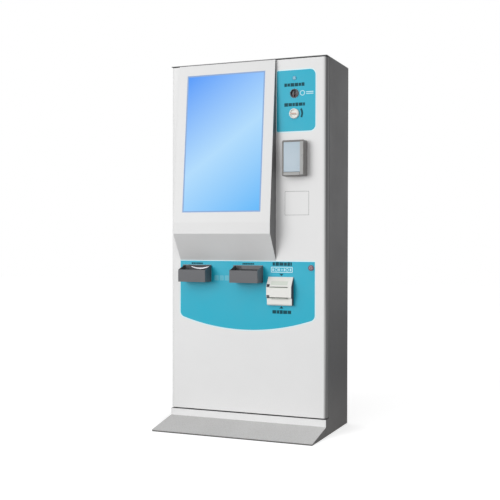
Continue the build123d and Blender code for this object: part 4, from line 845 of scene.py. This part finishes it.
CASE_GREY = (0.15, 0.145, 0.14, 1)
PAD_BLUE = (0.345, 0.44, 0.515, 1)
CHIN_GREY = (0.3, 0.305, 0.3, 1)
CHIN_FOOT, CHIN_RIGHT, CHIN_GAP, CHIN_THICK = 0.004, 0.014, 0.002, 0.0003
STRIP_LEFT, STRIP_RIGHT, STRIP_FOOT, STRIP_TOP = 0.011, 0.005, 0.006, 0.008
STRIP_CORNER, STRIP_SUNK, STRIP_PROUD = 0.003, 0.0005, 0.0006
chin_grey = moulded("reader_chin_grey", CHIN_GREY, 0.1, (0.25, 0.35))
dress("card_reader_case", moulded("reader_case_grey", CASE_GREY, 0.15, (0.3, 0.42)))
dress("card_reader_pad", moulded("reader_pad_blue", PAD_BLUE, 0.04, (0.18, 0.28), 0.02))

case_low, case_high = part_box("card_reader_case")
pad_low, pad_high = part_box("card_reader_pad")
chin_low = (pad_low[0], case_low[2] + CHIN_FOOT)
chin_high = (pad_high[0] - CHIN_RIGHT, pad_low[2] - CHIN_GAP)
work = bmesh.new()
face_plate(work, even_outline(chin_low, chin_high, STRIP_CORNER), case_low[1], CHIN_THICK)
add_piece("reader_chin", work, "door", chin_grey)

strip_low = (pad_high[0] - STRIP_LEFT, case_low[2] + STRIP_FOOT)
strip_high = (case_high[0] - STRIP_RIGHT, case_high[2] - STRIP_TOP)
strip_back = case_low[1] + STRIP_SUNK
strip_thick = strip_back + STRIP_PROUD - pad_low[1]
work = bmesh.new()
face_plate(work, even_outline(strip_low, strip_high, STRIP_CORNER), strip_back, strip_thick)
add_piece("reader_side_strip", work, "door", chin_grey)


# ---------------------------------------------------------------------------------------------
# Banknote bezel: off white moulding clipped to the door, with a sloping brow, an inlet slot and a
# return slot, guide ribs that lead a note in, smoked lamp windows at the slots' left ends and a
# dark plate down its right side that is painted shade.

BEZEL_WHITE = (0.8, 0.8, 0.765, 1)
LAMP_SMOKE = (0.03, 0.022, 0.035, 1)
BROW_TINT = (0.66, 0.7, 0.63, 1)
SIDE_PAINTED_SHADE = (0.045, 0.036, 0.048, 1)
BROW_HEIGHT, BROW_DEPTH = 0.042, 0.028
BROW_MARGIN = 0.003
LABEL_SHARES, LABEL_PROUD, RIB_PROUD = (0.14, 0.56), 0.0003, 0.0009
RIB_COUNT, RIB_START, RIB_STEP, RIB_SHARE = 4, 0.62, 0.09, 0.035
TONGUE_RISE, TONGUE_DEPTH = 0.0026, (0.0012, 0.02)
SLOT_GAP = 0.006
STRIP_FACES = (1, 3, 5, 7), (0, 6, 4, 2), (0, 2, 3, 1), (2, 4, 5, 3), (4, 6, 7, 5), (6, 0, 1, 7)
SIDE_THICK = 0.0004
SIDE_OUTLINE = (
    (0.028, 0.128), (0.0, 0.086), (0.0, 0.038), (0.01, 0.03),
    (0.01, 0.005), (0.015, 0.0), (0.0314, 0.0), (0.0314, 0.128),
)
bezel_white = moulded("bezel_white", BEZEL_WHITE, 0.1, (0.3, 0.45), 0.02)
brow_tint = moulded("bezel_brow_tint", BROW_TINT, 0.1, drift=0.03)
side_painted_shade = moulded("bezel_side_painted_shade", SIDE_PAINTED_SHADE, 0.1, drift=0.05)
dress("note_bezel", bezel_white)
dress("note_snout", bezel_white)
dress("note_lamps", moulded("lamp_smoke", LAMP_SMOKE, 0.03, (0.08, 0.15)))

snout_low, snout_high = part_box("note_snout")
brow_foot = (bezel_low[1], bezel_high[2] - BROW_HEIGHT)
brow_head = (bezel_low[1] + BROW_DEPTH, bezel_high[2])
brow_ends = (snout_low[0] + BROW_MARGIN, snout_high[0] - BROW_MARGIN)


def on_brow(x, share, proud):
    """Point on the sloping brow: share runs from its foot to its head."""
    y = brow_foot[0] + (brow_head[0] - brow_foot[0]) * share
    z = brow_foot[1] + (brow_head[1] - brow_foot[1]) * share
    return (x, y - proud * 0.83, z + proud * 0.55)


def brow_strip(work, x, share, proud):
    """Thin raised strip on the brow between two x values and two shares."""
    made = []
    for i, j in ((0, 0), (1, 0), (1, 1), (0, 1)):
        made += [work.verts.new(on_brow(x[i], share[j], depth)) for depth in (0, proud)]
    for ends in STRIP_FACES:
        work.faces.new([made[end] for end in ends])


work = bmesh.new()
brow_strip(work, brow_ends, LABEL_SHARES, LABEL_PROUD)
add_piece("bezel_brow_label", work, "door", brow_tint)

work = bmesh.new()
for rib in range(RIB_COUNT):
    share = RIB_START + RIB_STEP * rib
    brow_strip(work, brow_ends, (share, share + RIB_SHARE), RIB_PROUD)
add_piece("bezel_brow_ribs", work, "door", bezel_white)

work = bmesh.new()
for slot_foot in (snout_high[2], snout_low[2] - SLOT_GAP):
    low = (snout_low[0] + 0.0005, bezel_low[1] + TONGUE_DEPTH[0], slot_foot + 0.0001)
    high = (snout_high[0] - 0.0005, bezel_low[1] + TONGUE_DEPTH[1], slot_foot + TONGUE_RISE)
    slab(work, low, high)
add_piece("note_slot_tongues", work, "door", brow_tint)

# Painted shade: a thin dark plate on the bezel's right side stands in for the shade on that side.
work = bmesh.new()
outline = [(bezel_low[1] + y, bezel_low[2] + z) for y, z in SIDE_OUTLINE]
sides = []
for x in (bezel_high[0], bezel_high[0] + SIDE_THICK):
    sides.append([work.verts.new((x, y, z)) for y, z in outline])
for ring in sides:
    work.faces.new(ring)
for step in range(len(outline)):
    after = (step + 1) % len(outline)
    work.faces.new([sides[0][step], sides[0][after], sides[1][after], sides[1][step]])
add_piece("bezel_right_shade_plate", work, "door", side_painted_shade)


# ---------------------------------------------------------------------------------------------
# Trays, flap and lock: folded steel trays coated mid grey and screwed to the door from behind, a
# grey moulded flap on its own pivot, a dark lock collar round a reddish metal plug.

TRAY_GREY = (0.094, 0.097, 0.106, 1)
FLAP_GREY = (0.15, 0.155, 0.165, 1)
CUP_BLACK = (0.03, 0.03, 0.035, 1)
COLLAR = (0.11, 0.08, 0.12, 1)
PLUG = (0.28, 0.17, 0.18, 1)
LIP_PALE = (0.4, 0.4, 0.42, 1)
TRAY_EDGE = 0.0005
LIP_SPAN, LIP_DIP, LIP_THICK = 0.088, 0.0065, 0.0065
LIP_DROP, LIP_SET_BACK, LIP_DEPTH = 0.006, 0.018, 0.005
BACK_DEPTH, BACK_THICK = 0.0675, 0.0006
BACK_LEFT, BACK_RIGHT, BACK_FOOT, BACK_HEAD = 0.012, 0.004, 0.03, 0.001
CUT_SHADE_LEFT, CUT_SHADE_RIGHT, CUT_SHADE_FOOT, CUT_SHADE_HEAD = 0.02, 0.042, 0.024, 0.003
tray_coat = coated("tray_powder_coat", TRAY_GREY, 0.2, cloud=0.06, dust=0.0, peel=1100.0)
flap_coat = coated("flap_powder_coat", FLAP_GREY, 0.2, cloud=0.06, dust=0.0)
cup_black = moulded("cup_black", CUP_BLACK, 0.2)
lip_pale = plated("coin_lip_pale", LIP_PALE, (0.25, 0.4), metal=0.6)
for part in ("coin_tray", "ticket_tray"):
    dress(part, tray_coat, TRAY_EDGE)
dress("coin_cup", cup_black)
dress("ticket_flap", flap_coat)
dress("lock_body", plated("lock_collar", COLLAR, (0.35, 0.5), metal=0.5))
dress("lock_plug", plated("lock_plug_metal", PLUG, (0.4, 0.55), metal=0.5))

tray_low, tray_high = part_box("coin_tray")
cup_low, cup_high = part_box("coin_cup")
ticket_low, ticket_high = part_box("ticket_tray")
lip_top = tray_high[2] - LIP_DROP


def lip_line(drop):
    """Front edge of the scoop as (x, z) points, hollow upwards, lowered most at its middle."""
    points = []
    for step in range(25):
        share = step / 24
        sag = LIP_DIP * (1 - (2 * share - 1) ** 2)
        depth = drop * (0.35 + 0.65 * sag / LIP_DIP)
        points.append((cup_high[0] - LIP_SPAN * (1 - share), lip_top - sag - depth))
    return points


work = bmesh.new()
lip_outline = lip_line(0) + lip_line(LIP_THICK)[::-1]
face_plate(work, lip_outline, cup_high[1] - LIP_SET_BACK, LIP_DEPTH)
add_piece("coin_scoop_lip", work, "door", lip_pale)

back_face = tray_low[1] + BACK_DEPTH
plate_front = back_face - BACK_THICK
work = bmesh.new()
low = (cup_low[0] + BACK_LEFT, plate_front, cup_high[2] + BACK_FOOT)
slab(work, low, (cup_high[0] - BACK_RIGHT, back_face, tray_high[2] - BACK_HEAD))
add_piece("coin_scoop_back", work, "door", cup_black)

# Painted shade: a black plate at the left of the ticket tray's back stands in for the shade in an
# opening there.
work = bmesh.new()
low = (ticket_low[0] + CUT_SHADE_LEFT, plate_front, ticket_high[2] - CUT_SHADE_FOOT)
slab(work, low, (ticket_low[0] + CUT_SHADE_RIGHT, back_face, ticket_high[2] - CUT_SHADE_HEAD))
add_piece("ticket_finger_cut_shade", work, "door", cup_black)


# ---------------------------------------------------------------------------------------------
# Studio: white sweep under the machine, broad light from the front left with a lower one beside
# it, a small light by the right side's foot, camera on the right.

WHITE = (1, 1, 1, 1)
PALE = (0.9, 0.9, 0.9, 1)
BOUNCE = (0.22, 0.22, 0.22, 1)
FLOOR_GLOW = 0.37
SKY_FILL = 0.72
EYE_PLACE = (0.9396, -2.2644, 0.512)
EYE_YAW, EYE_PITCH, EYE_ROLL = 22.29, -0.546, -0.13
SENSOR_WIDTH, LENS_LENGTH, VIEW_END = 36, 65.14, 60
SWEEP_LOW, SWEEP_HIGH = (-14, -12, -0.02), (14, 14, -0.0005)
FLOOR_ROUGHNESS = 0.9
sweep = bmesh.new()
slab(sweep, SWEEP_LOW, SWEEP_HIGH)
floor_mesh = to_mesh(sweep, "floor")
floor = bpy.data.objects.new("floor", floor_mesh)
bpy.context.scene.collection.objects.link(floor)
floor_coat = bpy.data.materials.new("floor_white")
floor_coat.use_nodes = True
ground = floor_coat.node_tree
coat = ground.nodes["Principled BSDF"]
coat.inputs["Base Color"].default_value = PALE
coat.inputs["Roughness"].default_value = FLOOR_ROUGHNESS
dim = node(ground, "BsdfDiffuse", {"Color": BOUNCE})
glow = node(ground, "Emission", {"Color": WHITE, "Strength": FLOOR_GLOW})
bright = node(ground, "AddShader")
ground.links.new(coat.outputs[0], bright.inputs[0])
ground.links.new(glow.outputs[0], bright.inputs[1])
shown = node(ground, "MixShader", {0: node(ground, "LightPath").outputs["Is Camera Ray"]})
ground.links.new(dim.outputs[0], shown.inputs[1])
ground.links.new(bright.outputs[0], shown.inputs[2])
ground.links.new(shown.outputs[0], ground.nodes["Material Output"].inputs["Surface"])
floor_mesh.materials.append(floor_coat)

scene = bpy.context.scene
scene.view_settings.view_transform = "Standard"
world = bpy.data.worlds.new("studio")
scene.world = world
world.use_nodes = True
sky = world.node_tree
fill = sky.nodes["Background"]
fill.inputs["Color"].default_value = WHITE
fill.inputs["Strength"].default_value = SKY_FILL
seen = node(sky, "Background", {"Color": WHITE, "Strength": 1.0})
which = node(sky, "MixShader", {0: node(sky, "LightPath").outputs["Is Camera Ray"]})
sky.links.new(fill.outputs[0], which.inputs[1])
sky.links.new(seen.outputs[0], which.inputs[2])
sky.links.new(which.outputs[0], sky.nodes["World Output"].inputs["Surface"])


def soft_light(name, place, target, size, power):
    """Square area light aimed at a point."""
    lamp = bpy.data.lights.new(name, "AREA")
    lamp.size = size
    lamp.energy = power
    holder = bpy.data.objects.new(name, lamp)
    holder.location = place
    holder.rotation_euler = (Vector(target) - Vector(place)).to_track_quat("-Z", "Y").to_euler()
    scene.collection.objects.link(holder)


soft_light("key", (-2.7, -4.9, 2.5), (0, 0, 0.9), 3.4, 117)
soft_light("low_fill", (-1.8, -4.8, 0.5), (0, 0, 0.35), 2.6, 64)
soft_light("side_fill", (1.7, -0.3, 0.3), (0.3, 0, 0.15), 0.5, 8)

tall = cad_box[1][2]
camera = bpy.data.cameras.new("camera")
camera.sensor_width = SENSOR_WIDTH
camera.lens = LENS_LENGTH
camera.clip_end = VIEW_END
eye = bpy.data.objects.new("camera", camera)
eye.location = (EYE_PLACE[0] * tall, door_front + EYE_PLACE[1] * tall, EYE_PLACE[2] * tall)
yaw, pitch, roll = (math.radians(turn) for turn in (EYE_YAW, EYE_PITCH, EYE_ROLL))
eye.rotation_euler = (math.pi / 2 + pitch, roll, yaw)
scene.collection.objects.link(eye)
scene.camera = eye
